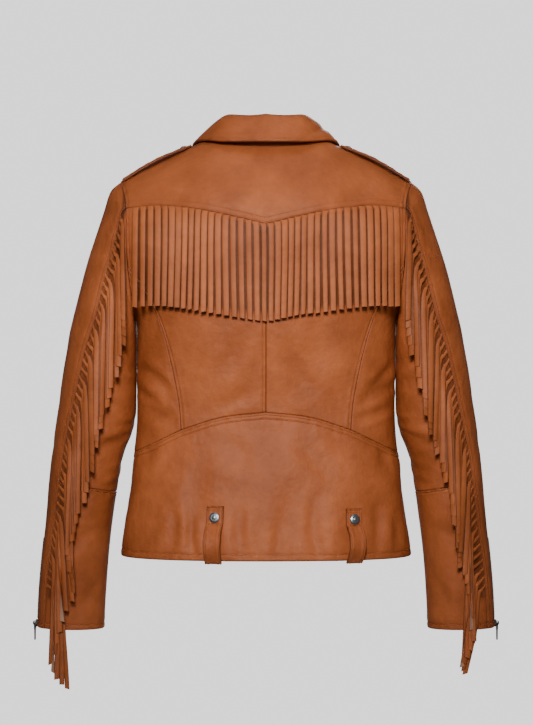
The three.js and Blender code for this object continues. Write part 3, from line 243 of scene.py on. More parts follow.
half_width = reader(WIDTHS)
depth_of = {-1: reader(BACK_DEPTHS), 1: reader(FRONT_DEPTHS)}
yoke_height = reader(YOKE_SEAM)
(OUT_X, OUT_Z, IN_X, IN_Z, DEPTH, MIDDLE_Y, SEAM_ANGLE) = [reader(SLEEVE, c) for c in range(1, 8)]
(RISE, TOP_X, TOP_Y, EDGE_X, EDGE_Y, EDGE_Z) = [reader(COLLAR, c) for c in range(1, 7)]


def bump(distance):
    return np.where(np.abs(distance) >= 1, 0, (1 - np.minimum(1, distance**2)) ** 2)


def unit(vectors):
    length = np.linalg.norm(vectors, axis=-1, keepdims=True)
    return vectors / np.maximum(length, 1e-9)


def stack(x, y, z):
    return np.stack(np.broadcast_arrays(x, y, z), axis=-1).astype(float)


def shoulder_height(x):
    past = np.abs(x) - NECK_HALF
    return SHOULDER_TOP - SHOULDER_SLOPE / 2 * (past + np.sqrt(past**2 + SHOULDER_EASE**2))


def torso_half(z):
    """Half the torso's width, which doesn't change above the top of its table."""
    return half_width(np.minimum(WIDTHS[0][0], z))


def square_depth(side, x, z):
    """The square of how far the body stands out at a place, below 0 where it has ended."""
    across = (x / torso_half(z)) ** 2
    depth = depth_of[side](np.clip(z, HEM, SHOULDER_TOP))
    below = np.minimum(1, (shoulder_height(x) - z) / ROUNDING[side])
    return depth**2 * (1 - across) * (1 + 0.15 * across) ** 2 * (1 - (1 - below) ** 2)


def body_point(side, x, z):
    """Points of the body's outer surface, given as seen from behind."""
    x = np.asarray(x, float)
    z = np.asarray(z, float)
    plain = np.sqrt(np.maximum(0, square_depth(side, x, z)))
    fold = 0
    for fold_x, fold_z, lean, long, wide, out in BODY_FOLDS:
        along = (z - fold_z) / long
        fold = fold + out * bump(along) * bump((side * -x - fold_x - lean * along) / wide / 1.6)
    return stack(x, side * (plain + fold * np.minimum(1, plain / 45)), z)


def body_normal(side, x, z):
    plain = np.sqrt(np.maximum(0, square_depth(side, x, z)))
    slope_x = square_depth(side, x + 0.5, z) - square_depth(side, x - 0.5, z)
    slope_z = square_depth(side, x, z + 0.5) - square_depth(side, x, z - 0.5)
    return unit(stack(-slope_x, 2 * side * plain, -slope_z))


def run_of(points, axis=0):
    """The length run from the first point of each line, along one axis of a line or grid."""
    steps = np.linalg.norm(np.diff(points, axis=axis), axis=-1)
    zero = np.zeros_like(np.take(steps, [0], axis=axis))
    return np.cumsum(np.concatenate([zero, steps], axis=axis), axis=axis)


def read_at(line, run, at):
    """All columns of a line at lengths run along it."""
    return np.stack([np.interp(at, run, column) for column in line.T], axis=-1)


def through(points, params):
    """A smooth curve through points, read at places that count them from 0."""
    points = np.asarray(points, float)
    last = len(points) - 1
    params = np.asarray(params, float)
    i = np.clip(params.astype(int), 0, last - 1)
    t = (params - i)[:, None]
    slopes = np.gradient(points, axis=0)
    start, end, start_slope, end_slope = hermite(t)
    return start * points[i] + start_slope * slopes[i] + end * points[i + 1] + end_slope * slopes[i + 1]


def spaced(table, count):
    """A seam table resampled at even steps along its curve."""
    dense = through(table, np.linspace(0, len(table) - 1, 40 * len(table)))
    run = run_of(dense)
    return read_at(dense, run, np.linspace(0, run[-1], count + 1))


def joined(*curves):
    """Several curves end to end, each smooth in itself."""
    def read(params):
        params = np.asarray(params, float)
        out = np.zeros((len(params), 2))
        start = 0
        for curve in curves:
            cells = len(curve) - 1
            inside = (params >= start - 1e-9) & (params <= start + cells + 1e-9)
            out[inside] = through(curve, params[inside] - start)
            start += cells
        return out

    read.cells = sum(len(curve) - 1 for curve in curves)
    return read


def fine(cells, each, size):
    """Places across a number of cells, closer together near both ends, where seams and stitching lie."""
    near = np.array(NEAR_EDGE) / size
    near = near[near < cells * 0.4]
    inside = np.linspace(0, cells, cells * each + 1)
    inside = inside[(inside > near[-1] + 0.05) & (inside < cells - near[-1] - 0.05)]
    return np.unique(np.round(np.r_[near, inside, cells - near], 5))


def cell_size(edge):
    places = edge(np.arange(edge.cells + 1))
    return float(np.linalg.norm(np.diff(places, axis=0), axis=1).mean())


def mirrored(points, half):
    return np.asarray(points, float) * [half, 1]


def arm_table(table):
    """An armhole's table with the height of its shoulder end filled in."""
    return [(x, float(shoulder_height(x)) if z is None else z) for x, z in table]


BACK_ARM = arm_table(BACK_ARM)
FRONT_ARM = arm_table(FRONT_ARM)


def neck_place(angle):
    """The neck's edge at angles from the back middle, as x and z."""
    a = np.radians(angle)
    edge = float(shoulder_height(NECK_HALF))
    back = np.cos(a) >= -1e-9
    z = np.where(back, edge * np.abs(np.sin(a)) ** 3, edge + FRONT_NECK_DROP * np.cos(a))
    return np.stack([NECK_HALF * np.sin(a), z], axis=-1)


FRONT_ANGLE = 180 - math.degrees(math.asin(ZIP_HALF / NECK_HALF))
NECK_BACK = neck_place(np.arange(-90, 91, 18.0))
NECK_FRONT = neck_place(90 + (FRONT_ANGLE - 90) * np.arange(6) / 5)


def shoulder_line(half):
    x = SHOULDER_HALF + (NECK_HALF - SHOULDER_HALF) * np.arange(5) / 4
    return np.stack([half * x, shoulder_height(x)], axis=1)


def side_line(top, bottom, cells, half):
    z = np.linspace(top, bottom, cells + 1)
    return np.stack([half * half_width(z), z], axis=1)


def yoke_seam(half):
    return mirrored(spaced(YOKE_SEAM, CENTRE_COLUMNS), half)


def centre_arch(half):
    return mirrored(spaced(ARCH_SEAM[:3], CENTRE_COLUMNS), half)


def side_arch(half):
    line = mirrored(spaced(ARCH_SEAM[2:], SIDE_COLUMNS), half)
    line[-1] = (half * half_width(ARCH_END), ARCH_END)
    return line


def princess_line(half):
    return mirrored(spaced(PRINCESS, PRINCESS_ROWS), half)[::-1]


def panel(side, top, bottom, left, right, each=6, ease=None):
    """A grid of points of the body between four edges, which are read at fine places."""
    across = fine(top.cells, each, cell_size(bottom))
    down = fine(left.cells, each, cell_size(right))
    edges = (top(across), bottom(across), left(down), right(down))
    u = (across / top.cells)[None, :]
    v = (down / left.cells)[:, None]
    if ease:
        v = ease(v)

    def angle(edge):
        return np.arcsin(np.clip(edge[:, 0] / torso_half(edge[:, 1]), -1, 1))

    def blend(upper, lower, near, far):
        flat = (1 - v) * upper[None, :] + v * lower[None, :] + (1 - u) * near[:, None] + u * far[:, None]
        corners = (1 - u) * (1 - v) * upper[0] + u * (1 - v) * upper[-1]
        return flat - (corners + (1 - u) * v * lower[0] + u * v * lower[-1])

    z = blend(*(edge[:, 1] for edge in edges))
    x = torso_half(z) * np.sin(blend(*(angle(edge) for edge in edges)))
    for rows, edge in zip((np.s_[0, :], np.s_[-1, :], np.s_[:, 0], np.s_[:, -1]), edges):
        x[rows] = edge[:, 0]
        z[rows] = edge[:, 1]
    return body_point(side, x, z), body_normal(side, x, z)


def gradients(points):
    return np.gradient(points, axis=1), np.gradient(points, axis=0)


def grid_normals(points, outward):
    normal = unit(np.cross(*gradients(points)))
    sign = np.sign((normal * outward).sum(axis=-1, keepdims=True).mean())
    return normal * sign


def column_angle(column, step):
    """Degrees round a sleeve from its outer edge, below 0 at the back."""
    seam = SEAM_ANGLE(step)
    under = -180 + (180 - seam) * column / BACK_SEAM
    outer = -seam * (TOP - column) / (TOP - BACK_SEAM)
    front = 180 * (column - TOP) / (LAST - TOP)
    return np.where(column <= BACK_SEAM, under, np.where(column <= TOP, outer, front))


def sleeve_plain(half, step, angle):
    a = np.radians(angle)
    c = np.cos(a)
    x = (OUT_X(step) + IN_X(step)) / 2 + (OUT_X(step) - IN_X(step)) / 2 * c
    z = (OUT_Z(step) + IN_Z(step)) / 2 + (OUT_Z(step) - IN_Z(step)) / 2 * c
    return stack(half * x, MIDDLE_Y(step) + DEPTH(step) * np.sin(a), z)


def armhole_point(half, column):
    shape = np.shape(column)
    flat = np.mod(np.ravel(column), LAST)
    back = through(mirrored(BACK_ARM, half), np.clip(flat, 0, TOP))
    front = through(mirrored(FRONT_ARM, half), np.clip(flat - TOP, 0, LAST - TOP))
    on_back = body_point(-1, back[:, 0], back[:, 1])
    on_front = body_point(1, front[:, 0], front[:, 1])
    return np.where((flat <= TOP)[:, None], on_back, on_front).reshape(shape + (3,))


def sleeve_point(half, step, column):
    """A sleeve's surface, which grows out of the armhole."""
    step, column = np.broadcast_arrays(np.asarray(step, float), np.asarray(column, float))
    column = np.mod(column, LAST)
    angle = column_angle(column, step)
    plain = sleeve_plain(half, step, angle)
    share = np.clip(step / ARMHOLE_BLEND, 0, 1)
    blend = (share**2 * (3 - 2 * share))[..., None]
    start = armhole_point(half, column) + plain - sleeve_plain(half, 0, column_angle(column, 0))
    return plain * blend + start * (1 - blend)


def sleeve_folds(step, angle):
    """How far a sleeve's folds stand out."""
    out = 0
    for fold_step, fold_angle, long, around, depth in SLEEVE_FOLDS:
        turn = np.mod(angle - fold_angle + 540, 360) - 180
        out = out + depth * bump((step - fold_step) / long / 1.5) * bump(turn / around)
    return out


def waviness(u, v, seed):
    """Soft unevenness of the leather over a place in mm."""
    phase = 1.7 * seed
    slow = np.sin(u / 31 + phase) * np.sin(v / 43 + 2 * phase) + np.sin(u / 17 - v / 23 + 3 * phase)
    quick = np.sin(u / 9.3 + v / 13.7 + phase) * np.sin(v / 7.9 - u / 29 - phase)
    return 0.5 * slow + 0.2 * quick


def band(distance, at, width, power=2):
    """How near a place is to the middle of a soft band, 1 there and 0 well outside it."""
    return np.exp(-((distance - at) / width) ** power)


def creases(u, v, rows):
    """Soft troughs with ridges on both sides, along slightly bent lines, fading at both ends."""
    out = np.zeros(np.broadcast(u, v).shape)
    for n, (u0, v0, u1, v1, width, depth) in enumerate(rows):
        long = math.hypot(u1 - u0, v1 - v0)
        (du, dv) = ((u1 - u0) / long, (v1 - v0) / long)
        along = ((u - u0) * du + (v - v0) * dv) / long
        bend = 0.09 * long * math.sin(2.3 * n + 1) * np.sin(np.pi * np.clip(along, 0, 1))
        aside = (v - v0) * du - (u - u0) * dv - bend
        fade = np.clip(1 - (2 * along - 1) ** 2, 0, 1) ** 0.8
        ridges = 0.6 * band(aside, 1.7 * width, width) + 0.3 * band(aside, -1.9 * width, width)
        out += CREASE_DEPTH * depth * fade * (ridges - band(aside, 0, width))
    return out


def seam_relief(points, edges):
    """The turned edge, the padded allowance and the sunk stitching beside each edge, with a tone that is
    darker along each edge, over a strip beside it and along each row of stitching."""
    across = run_of(points, 1)
    down = run_of(points)
    distance = {"left": across, "right": across[:, -1:] - across, "top": down, "bottom": down[-1:] - down}
    along = {"left": down, "right": down, "top": across, "bottom": across}
    out = np.zeros(points.shape[:2])
    tone = np.zeros(points.shape[:2])
    for edge, rows in edges.items():
        d = distance[edge]
        s = along[edge]
        out -= 0.8 * band(d, 0, 0.8)
        tone += 1.3 * band(d, 0, 0.75) + 0.12 * band(d, 0, 15)
        if not rows:
            continue
        pucker = 1 + 0.5 * np.sin(s / 2.1 + 1.5 * np.sin(s / 19)) + 0.4 * np.sin(s / 4.7 + 1)
        widest = max(rows)
        out += 0.5 * pucker * band(d, widest * 0.5, widest * 0.42, 4)
        out += 0.35 * pucker * band(d, widest * 1.7, widest * 0.6)
        for row in rows:
            out -= 0.6 * band(d, row, 1)
            tone += 0.12 * band(d, row, 1)
    return out, tone


materials = {}


def show(name, data):
    made = bpy.data.objects.new(name, data)
    bpy.context.scene.collection.objects.link(made)
    return made


def mesh_object(name, vertices, faces, kinds, flat=False, face_kinds=None, tones=None):
    """A mesh from places in mm, with a material for each face and a tone for each point."""
    mesh = bpy.data.meshes.new(name)
    mesh.from_pydata((np.asarray(vertices, float) * 0.001).tolist(), [], faces)
    for kind in kinds:
        mesh.materials.append(materials[kind])
    if face_kinds is not None:
        mesh.polygons.foreach_set("material_index", face_kinds)
    mesh.polygons.foreach_set("use_smooth", [not flat] * len(faces))
    tone = mesh.attributes.new("tone", "FLOAT", "POINT")
    tone.data.foreach_set("value", np.zeros(len(vertices)) if tones is None else np.asarray(tones, float))
    mesh.update()
    if not flat:
        mesh.set_sharp_from_angle(angle=math.radians(SHARP_ANGLE))
    return show(name, mesh)


def dress(made, node=None):
    """Puts a finished piece on the jacket's body, in the place of a solid if it stands for one."""
    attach(made, BODY)
    if node:
        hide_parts(node)


def grid_faces(high, wide, start=0, turned=False, closed=False):
    """The faces of a grid of points, whose rows close up into rings if asked."""
    columns = np.arange(wide if closed else wide - 1)
    rows = np.arange(high - 1)[:, None]
    a = start + rows * wide + columns
    b = start + rows * wide + (columns + 1) % wide
    quads = np.stack([a, b, b + wide, a + wide], axis=-1).reshape(-1, 4)
    return quads[:, ::-1] if turned else quads


def shell_mesh(name, points, normals, tones):
    """A closed thin shell with a rounded rim: the outer grid, the same grid moved in, and the rim."""
    high, wide = points.shape[:2]
    across, down = gradients(points)
    facing = (np.cross(across, down) * normals).sum(axis=-1).mean() > 0
    outer = points.reshape(-1, 3)
    inner = (points - normals * CLOTH).reshape(-1, 3)
    ring = np.r_[np.arange(wide), np.arange(1, high) * wide + wide - 1,
                 (high - 1) * wide + np.arange(wide - 2, -1, -1), np.arange(high - 2, 0, -1) * wide]
    outward = np.zeros_like(points)
    outward[0] -= unit(down[0])
    outward[-1] += unit(down[-1])
    outward[:, 0] -= unit(across[:, 0])
    outward[:, -1] += unit(across[:, -1])
    rim = (outer[ring] + inner[ring]) / 2 + unit(outward.reshape(-1, 3)[ring]) * CLOTH * 0.22
    count = high * wide
    front = grid_faces(high, wide, 0, turned=not facing)
    following = np.roll(ring, -1)
    middle = 2 * count + np.arange(len(ring))
    middle_next = np.roll(middle, -1)
    upper = np.stack([following, ring, middle, middle_next], axis=1)
    lower = np.stack([middle_next, middle, count + ring, count + following], axis=1)
    if not facing:
        upper, lower = upper[:, ::-1], lower[:, ::-1]
    faces = np.concatenate([front, grid_faces(high, wide, count, turned=facing), upper, lower])
    kinds = np.zeros(len(faces), int)
    kinds[len(front):2 * len(front)] = 1
    flat = np.ravel(tones)
    return mesh_object(name, np.concatenate([outer, inner, rim]), faces.tolist(), ["leather", "flesh"],
                       face_kinds=kinds.tolist(), tones=np.r_[flat, flat, flat[ring]])


stitch_lines = []


def offset_line(points, normals, edge, distance):
    """The line on a grid that keeps a distance from one of its edges, with normals."""
    both = np.concatenate([points, normals], axis=-1)
    if edge in ("left", "right"):
        both = both.transpose(1, 0, 2)
    if edge in ("bottom", "right"):
        both = both[::-1]
    return np.array([read_at(line, run_of(line[:, :3]), distance) for line in both.transpose(1, 0, 2)])


def cloth(node, points, normals, edges, crease=0, seed=0, flat=None, area=None, held="hung", rests=(),
          calm=1.0, shade=0.0):
    """A sewn panel: its shell, its place on the frame and the stitching along its edges."""
    relief, tones = seam_relief(points, edges)
    across = run_of(points, 1)
    down = run_of(points)
    margin = np.minimum(np.minimum(across, across[:, -1:] - across), np.minimum(down, down[-1:] - down))
    keep = np.clip(margin / CALM_MARGIN, 0, 1)
    soft = waviness(points[..., 0] + 0.7 * points[..., 1], points[..., 2], seed)
    moved = points + normals * (relief + keep * (crease + calm * soft))[..., None]
    # Painted shade in the creases' troughs and a little painted light on their ridges, added to the tone
    tones = tones + shade + keep * np.clip(-0.07 * np.asarray(crease), -0.1, 0.25)
    made = shell_mesh(f"{node}_cloth", moved, normals, tones)
    dress(made, node)
    for edge, rows in edges.items():
        for row in rows:
            stitch_lines.append(offset_line(moved, normals, edge, row))


def sew(name, lines):
    """All stitches of the lines in one mesh: short raised threads, each tucked in at both ends."""
    vertices = []
    faces = []
    for line in lines:
        run = run_of(line[:, :3])
        count = int(run[-1] // STITCH["pitch"])
        if count < 2:
            continue
        starts = np.linspace(1.5, run[-1] - 1.5 - STITCH["length"], count)
        rings = []
        for share, size, rise in ((0, 0.45, -0.25), (0.25, 1, 0.1), (0.75, 1, 0.1), (1, 0.45, -0.25)):
            at = starts + share * STITCH["length"]
            spots = read_at(line, run, at)
            normal = unit(spots[:, 3:])
            ahead = unit(read_at(line, run, at + 0.4)[:, :3] - spots[:, :3])
            side = unit(np.cross(ahead, normal))
            radius = STITCH["radius"] * size
            centre = spots[:, :3] + normal * (rise + 0.12)
            rings.append([centre + side * radius * a + normal * radius * b
                          for a, b in ((-1, 0), (0, 1), (1, 0), (0, -1))])
        base = len(vertices)
        vertices.extend(np.array(rings).transpose(2, 0, 1, 3).reshape(-1, 3).tolist())
        for first in range(base, base + 16 * count, 16):
            faces += grid_faces(4, 4, first, closed=True).tolist()
            faces.append((first, first + 3, first + 2, first + 1))
            faces.append((first + 12, first + 13, first + 14, first + 15))
    dress(mesh_object(name, vertices, faces, ["thread"]))


def make_surface(name, values):
    """A new material, as its tree and the node of its surface."""
    made = bpy.data.materials.new(name)
    made.use_nodes = True
    materials[name] = made
    surface = made.node_tree.nodes["Principled BSDF"]
    for socket, value in values.items():
        surface.inputs[socket].default_value = value
    return made.node_tree, surface


def add_node(tree, kind, values, **settings):
    made = tree.nodes.new("ShaderNode" + kind)
    for setting, value in settings.items():
        setattr(made, setting, value)
    for socket, value in values.items():
        made.inputs[socket].default_value = value
    return made


def link(source, output, target, socket):
    source.id_data.links.new(source.outputs[output], target.inputs[socket])


def mottled(tree, scale, dark, light):
    """A colour that goes softly between two, and the coordinates that it lies on."""
    coordinates = add_node(tree, "TexCoord", {})
    noise = add_node(tree, "TexNoise", {"Scale": scale, "Detail": 4})
    ramp = add_node(tree, "ValToRGB", {})
    for stop, colour, position in zip(ramp.color_ramp.elements, (dark, light), (0.3, 0.7)):
        stop.color = (*colour, 1)
        stop.position = position
    link(coordinates, "Object", noise, "Vector")
    link(noise, "Fac", ramp, "Fac")
    return coordinates, ramp


def make_leather(name, dark, light, roughness, grain, sheen=0.0, tone_depth=0.35):
    """A mottled colour, made darker by each point's tone, which carries painted shade as well as uneven
    tone, with a fine grain over small wrinkles.
    """
    tree, surface = make_surface(name, {"Roughness": roughness, "Specular IOR Level": 0.16,
                                        "Sheen Weight": sheen})
    coordinates, ramp = mottled(tree, 16, dark, light)
    tone = add_node(tree, "Attribute", {}, attribute_name="tone")
    depth = add_node(tree, "Math", {1: -tone_depth, 2: 1.0}, operation="MULTIPLY_ADD")
    specks = add_node(tree, "TexNoise", {"Scale": 75, "Detail": 7, "Roughness": 0.65})
    uneven = add_node(tree, "MapRange", {"From Min": 0.3, "From Max": 0.7, "To Min": 1 - MOTTLE,
                                         "To Max": 1 + MOTTLE})
    both = add_node(tree, "Math", {}, operation="MULTIPLY")
    shade = add_node(tree, "VectorMath", {}, operation="SCALE")
    cells = add_node(tree, "TexVoronoi", {"Scale": 620}, feature="DISTANCE_TO_EDGE")
    wrinkles = add_node(tree, "TexNoise", {"Scale": 120, "Detail": 5})
    first = add_node(tree, "Bump", {"Strength": grain, "Distance": 0.0004})
    second = add_node(tree, "Bump", {"Strength": min(1.0, grain * 2.2), "Distance": 0.0014})
    for texture in (specks, cells, wrinkles):
        link(coordinates, "Object", texture, "Vector")
    link(tone, "Fac", depth, 0)
    link(specks, "Fac", uneven, "Value")
    link(depth, "Value", both, 0)
    link(uneven, "Result", both, 1)
    link(ramp, "Color", shade, 0)
    link(both, "Value", shade, "Scale")
    link(shade, "Vector", surface, "Base Color")
    link(cells, "Distance", first, "Height")
    link(wrinkles, "Fac", second, "Height")
    link(second, "Normal", first, "Normal")
    link(first, "Normal", surface, "Normal")


def make_metal(name, dark, light, roughness):
    tree, surface = make_surface(name, {"Metallic": 1.0, "Roughness": roughness})
    ramp = mottled(tree, 420, dark, light)[1]
    scratches = add_node(tree, "Bump", {"Strength": 0.12, "Distance": 0.0002})
    link(ramp, "Color", surface, "Base Color")
    link(ramp, "Color", scratches, "Height")
    link(scratches, "Normal", surface, "Normal")


make_leather("leather", (0.225, 0.055, 0.0145), (0.335, 0.088, 0.026), 0.55, 0.36)
make_leather("strand", (0.26, 0.067, 0.018), (0.36, 0.098, 0.03), 0.55, 0.3, tone_depth=0.66)
make_leather("flesh", (0.4, 0.2, 0.115), (0.52, 0.29, 0.18), 0.85, 0.3, sheen=0.1, tone_depth=0.2)
make_leather("thread", (0.21, 0.052, 0.014), (0.28, 0.073, 0.022), 0.6, 0.0)
make_metal("zip_metal", (0.05, 0.048, 0.046), (0.13, 0.125, 0.12), 0.42)
make_metal("snap_metal", (0.16, 0.19, 0.21), (0.36, 0.40, 0.43), 0.38)


def fringe_end(x):
    """The height where the yoke fringe ends, lowest in the middle."""
    return YOKE_FRINGE["end"] - YOKE_FRINGE["bow"] * (1 - np.abs(x) / YOKE_FRINGE["half"])


def yoke_shade(points):
    """The shade on the back behind the yoke fringe."""
    x = np.abs(points[..., 0])
    z = points[..., 2]
    below_seam = np.clip((yoke_height(x) - 2 - z) / 4, 0, 1)
    above_ends = np.clip((z - fringe_end(x) - 4) / 8, 0, 1)
    return PAINTED_SHADE_BEHIND_FRINGE * below_seam * above_ends * np.clip((YOKE_FRINGE["half"] + 2 - x) / 3, 0, 1)


def body_cloth(name, grid, edges, rows=BACK_CREASES, **how):
    """A panel of the body with the creases that cross it."""
    crease = creases(grid[0][..., 0], grid[0][..., 2], rows)
    cloth(name, *grid, edges, crease=crease, **how)


def straight(start, end, cells):
    return joined(np.linspace(start, end, cells + 1))


def build_front(side, half):
    top = joined(NECK_FRONT[::-1] * [half, 1], shoulder_line(half)[::-1])
    outer = joined(mirrored(FRONT_ARM, half), side_line(UNDERARM, ARCH_END, PRINCESS_ROWS, half),
                   side_line(ARCH_END, HEM, LOWER_ROWS, half))
    middle = straight(top([0])[0], (half * ZIP_HALF, HEM), outer.cells)
    turn = np.linspace(math.asin(ZIP_HALF / HEM_HALF), math.pi / 2, top.cells + 1)
    hem = joined(np.stack([half * HEM_HALF * np.sin(turn), np.full(len(turn), HEM)], axis=1))
    body_cloth(f"front_{side}", panel(1, top, hem, middle, outer, each=5),
               {**TURNED, "bottom": (9,), "left": (6,)}, rows=FRONT_CREASES, seed=9 + half,
               flat=(0.27, 0.56), area=0.12)


def build_body():
    def gentle(t):
        return (1 - np.cos(1.4 * t)) / (1 - math.cos(1.4))

    top = joined(shoulder_line(-1), NECK_BACK, shoulder_line(1)[::-1])
    bottom = joined(yoke_seam(-1)[::-1], yoke_seam(1))
    arms = [joined(mirrored(BACK_ARM, half)[BACK_SEAM:][::-1]) for half in (-1, 1)]
    body_cloth("back_yoke", panel(-1, top, bottom, *arms, ease=gentle),
               {"top": (), "bottom": (3, 9), "left": (4,), "right": (4,)}, seed=1, flat=(0.43, 0.17),
               area=0.05)
    for side, half in SIDES:
        arm = mirrored(BACK_ARM, half)
        grid = panel(-1, joined(arm[:SIDE_COLUMNS + 1][::-1]), joined(side_arch(half)),
                     joined(princess_line(half)),
                     joined(side_line(UNDERARM, ARCH_END, PRINCESS_ROWS, half)), each=8)
        body_cloth(f"back_side_{side}", grid, {**TURNED, "top": (4,)}, seed=2 + half, flat=(0.12, 0.27),
                   area=0.018, shade=yoke_shade(grid[0]))
        outer = joined(arm[SIDE_COLUMNS:BACK_SEAM + 1][::-1], princess_line(half))
        middle = straight(YOKE_SEAM[0], ARCH_SEAM[0], outer.cells)
        grid = panel(-1, joined(yoke_seam(half)), joined(centre_arch(half)), middle, outer)
        body_cloth(f"back_centre_{side}", grid,
                   {**TURNED, "left": (5,) if half < 0 else (), "right": (4,)}, seed=5 + half,
                   flat=(0.21, 0.31), area=0.046, shade=yoke_shade(grid[0]))
        build_front(side, half)
    arch = joined(side_arch(-1)[::-1], centre_arch(-1)[::-1], centre_arch(1), side_arch(1))
    places = arch(np.arange(arch.cells + 1))
    ratio = np.clip(places[:, 0] / half_width(places[:, 1]), -1, 1)
    hem = joined(np.stack([HEM_HALF * ratio, np.full(len(ratio), HEM)], axis=1))
    sides = [joined(side_line(ARCH_END, HEM, LOWER_ROWS, half)) for half in (-1, 1)]
    body_cloth("back_lower", panel(-1, arch, hem, *sides, each=7),
               {**TURNED, "top": (3.5, 9), "bottom": (9,)}, seed=13, flat=(0.47, 0.2), area=0.082)


def sleeve_shade(half, points):
    """The shade on the back of a sleeve behind its fringe."""
    back = SleeveBack(half)
    x = np.abs(points[..., 0])
    z = points[..., 2]
    seam = back.seam(z)
    inner = np.maximum(SLEEVE_FRINGE_INNER, back.seam(np.minimum(z + 120, -70)) - 9)
    inside = bump((x - (seam + inner) / 2) / np.maximum(seam - inner - 8, 6) * 1.1)
    shaded = (points[..., 1] < 10) & (z > SLEEVE_FRINGE_END - 20)
    return PAINTED_SHADE_BEHIND_FRINGE * 0.8 * np.clip(1.6 * inside, 0, 1) * shaded


def unrolled(along, turn, along_end, turn_end, width, depth):
    """A crease of a sleeve in mm both ways, taken the short way round."""
    if abs(turn_end - turn) >= 180:
        turn_end += 360 * np.sign(turn)
    return along, PER_DEGREE * turn, along_end, PER_DEGREE * turn_end, width, depth


def build_sleeves():
    last = SLEEVE[-1][0]
    under = FRONT_SEAM - LAST
    pieces = [
        ("top", BACK_SEAM, FRONT_SEAM, 0, last, {"left": (3, 8), "bottom": (8,)}, (0.17, 0.64), 0.075),
        ("under_upper", under, BACK_SEAM, 0, ELBOW_STEP, {}, (0.24, 0.4), 0.059),
        ("under_lower", under, BACK_SEAM, ELBOW_STEP, last, {"top": (3,), "bottom": (8,)}, (0.19, 0.23),
         0.037),
    ]
    rows = [unrolled(*row) for row in SLEEVE_CREASES]
    for side, half in SIDES:
        for name, first, end, start, stop, stitched, flat, area in pieces:
            cells = int(40 * (stop - start))
            steps = start + (stop - start) * fine(cells, 3, 15.5) / cells
            step, column = np.meshgrid(steps, fine(end - first, 7, 13) + first, indexing="ij")
            points = sleeve_point(half, step, column)
            angle = column_angle(np.mod(column, LAST), step)
            middle = sleeve_plain(half, step, 90) * 0.5 + sleeve_plain(half, step, -90) * 0.5
            normals = grid_normals(points, points - middle)
            points = points + normals * sleeve_folds(step, angle)[..., None]
            calm = 0.25 + 0.75 * np.sin(np.radians(angle)) ** 2
            along = step * SLEEVE_LENGTH + 3 * half
            crease = sum(creases(along, PER_DEGREE * (angle + turn), rows) for turn in (-360, 0, 360))
            cloth(f"sleeve_{side}_{name}", points, normals, {**TURNED, **stitched}, crease=crease * calm,
                  seed=17 + half, flat=flat, area=area, calm=calm, shade=sleeve_shade(half, points))


def collar_grids():
    """The collar's stand and fall, each as points and normals."""
    angle = np.concatenate([np.linspace(-FRONT_ANGLE, -90, 41), np.linspace(-90, 90, 81)[1:-1],
                            np.linspace(90, FRONT_ANGLE, 41)])
    turn = np.minimum(COLLAR[-1][0], np.abs(angle))
    sign = np.sign(angle)
    x, z = neck_place(angle).T
    on_back = (np.cos(np.radians(angle)) >= -1e-9)[:, None]
    foot, lean = [np.where(on_back, of(-1, x, z), of(1, x, z)) for of in (body_point, body_normal)]
    top = stack(sign * TOP_X(turn), TOP_Y(turn), z + RISE(turn))
    edge = stack(sign * EDGE_X(turn), EDGE_Y(turn), EDGE_Z(turn))
    away = unit(stack(top[:, 0], top[:, 1] - 8, 0 * turn))
    start = foot - [0, 0, 1.6] - lean * 0.6
    stand = start + (top - start) * fine(2, 5, 20)[:, None, None] / 2
    stand_normals = np.broadcast_to(away, stand.shape).copy()
    up = unit(top - foot)
    first = top - away * CLOTH + up * 0.48
    crest = unit(up + [0, 0, 1])
    a, b, c, d = first, first + crest * 7, top + away * 9 + crest * 9.5, edge
    t = (fine(5, 7, 12) / 5)[:, None, None] ** 1.2
    fall = (1 - t) ** 3 * a + 3 * (1 - t) ** 2 * t * b + 3 * (1 - t) * t**2 * c + t**3 * d
    slope = unit(3 * (1 - t) ** 2 * (b - a) + 6 * (1 - t) * t * (c - b) + 3 * t**2 * (d - c))
    around = stack(-away[:, 1], away[:, 0], 0 * turn)
    normals = unit(np.cross(slope, np.broadcast_to(around, slope.shape)))
    normals[0] = -away
    return (stand, stand_normals), (fall, normals)


def build_collar():
    stand, fall = collar_grids()
    cloth("collar_stand", *stand, {}, seed=21, flat=(0.44, 0.05), area=0.013, rests=["back_yoke"])
    cloth("collar_fall", *fall, {"top": (), "bottom": (5.5,), "left": (5.5,), "right": (5.5,)}, calm=0.35,
          crease=creases(run_of(fall[0], 1), run_of(fall[0]), COLLAR_CREASES), seed=23, flat=(0.48, 0.07),
          area=0.03, rests=["collar_stand"])


def snap(node, at, facing, radius, height):
    """A domed snap with a rolled rim, a ring and a raised dot."""
    side = unit(np.cross(facing, [0.0, 0.1, 1.0]))
    up = np.cross(side, facing)
    vertices = []
    for share, rise in SNAP_PROFILE:
        for a in 2 * np.pi * np.arange(SNAP_SIDES) / SNAP_SIDES:
            spot = (side * math.cos(a) + up * math.sin(a)) * share * radius
            vertices.append(at + spot + facing * height * rise)
    faces = grid_faces(len(SNAP_PROFILE), SNAP_SIDES, closed=True).tolist()
    dress(mesh_object(f"{node}_metal", vertices, faces, ["snap_metal"]), node)


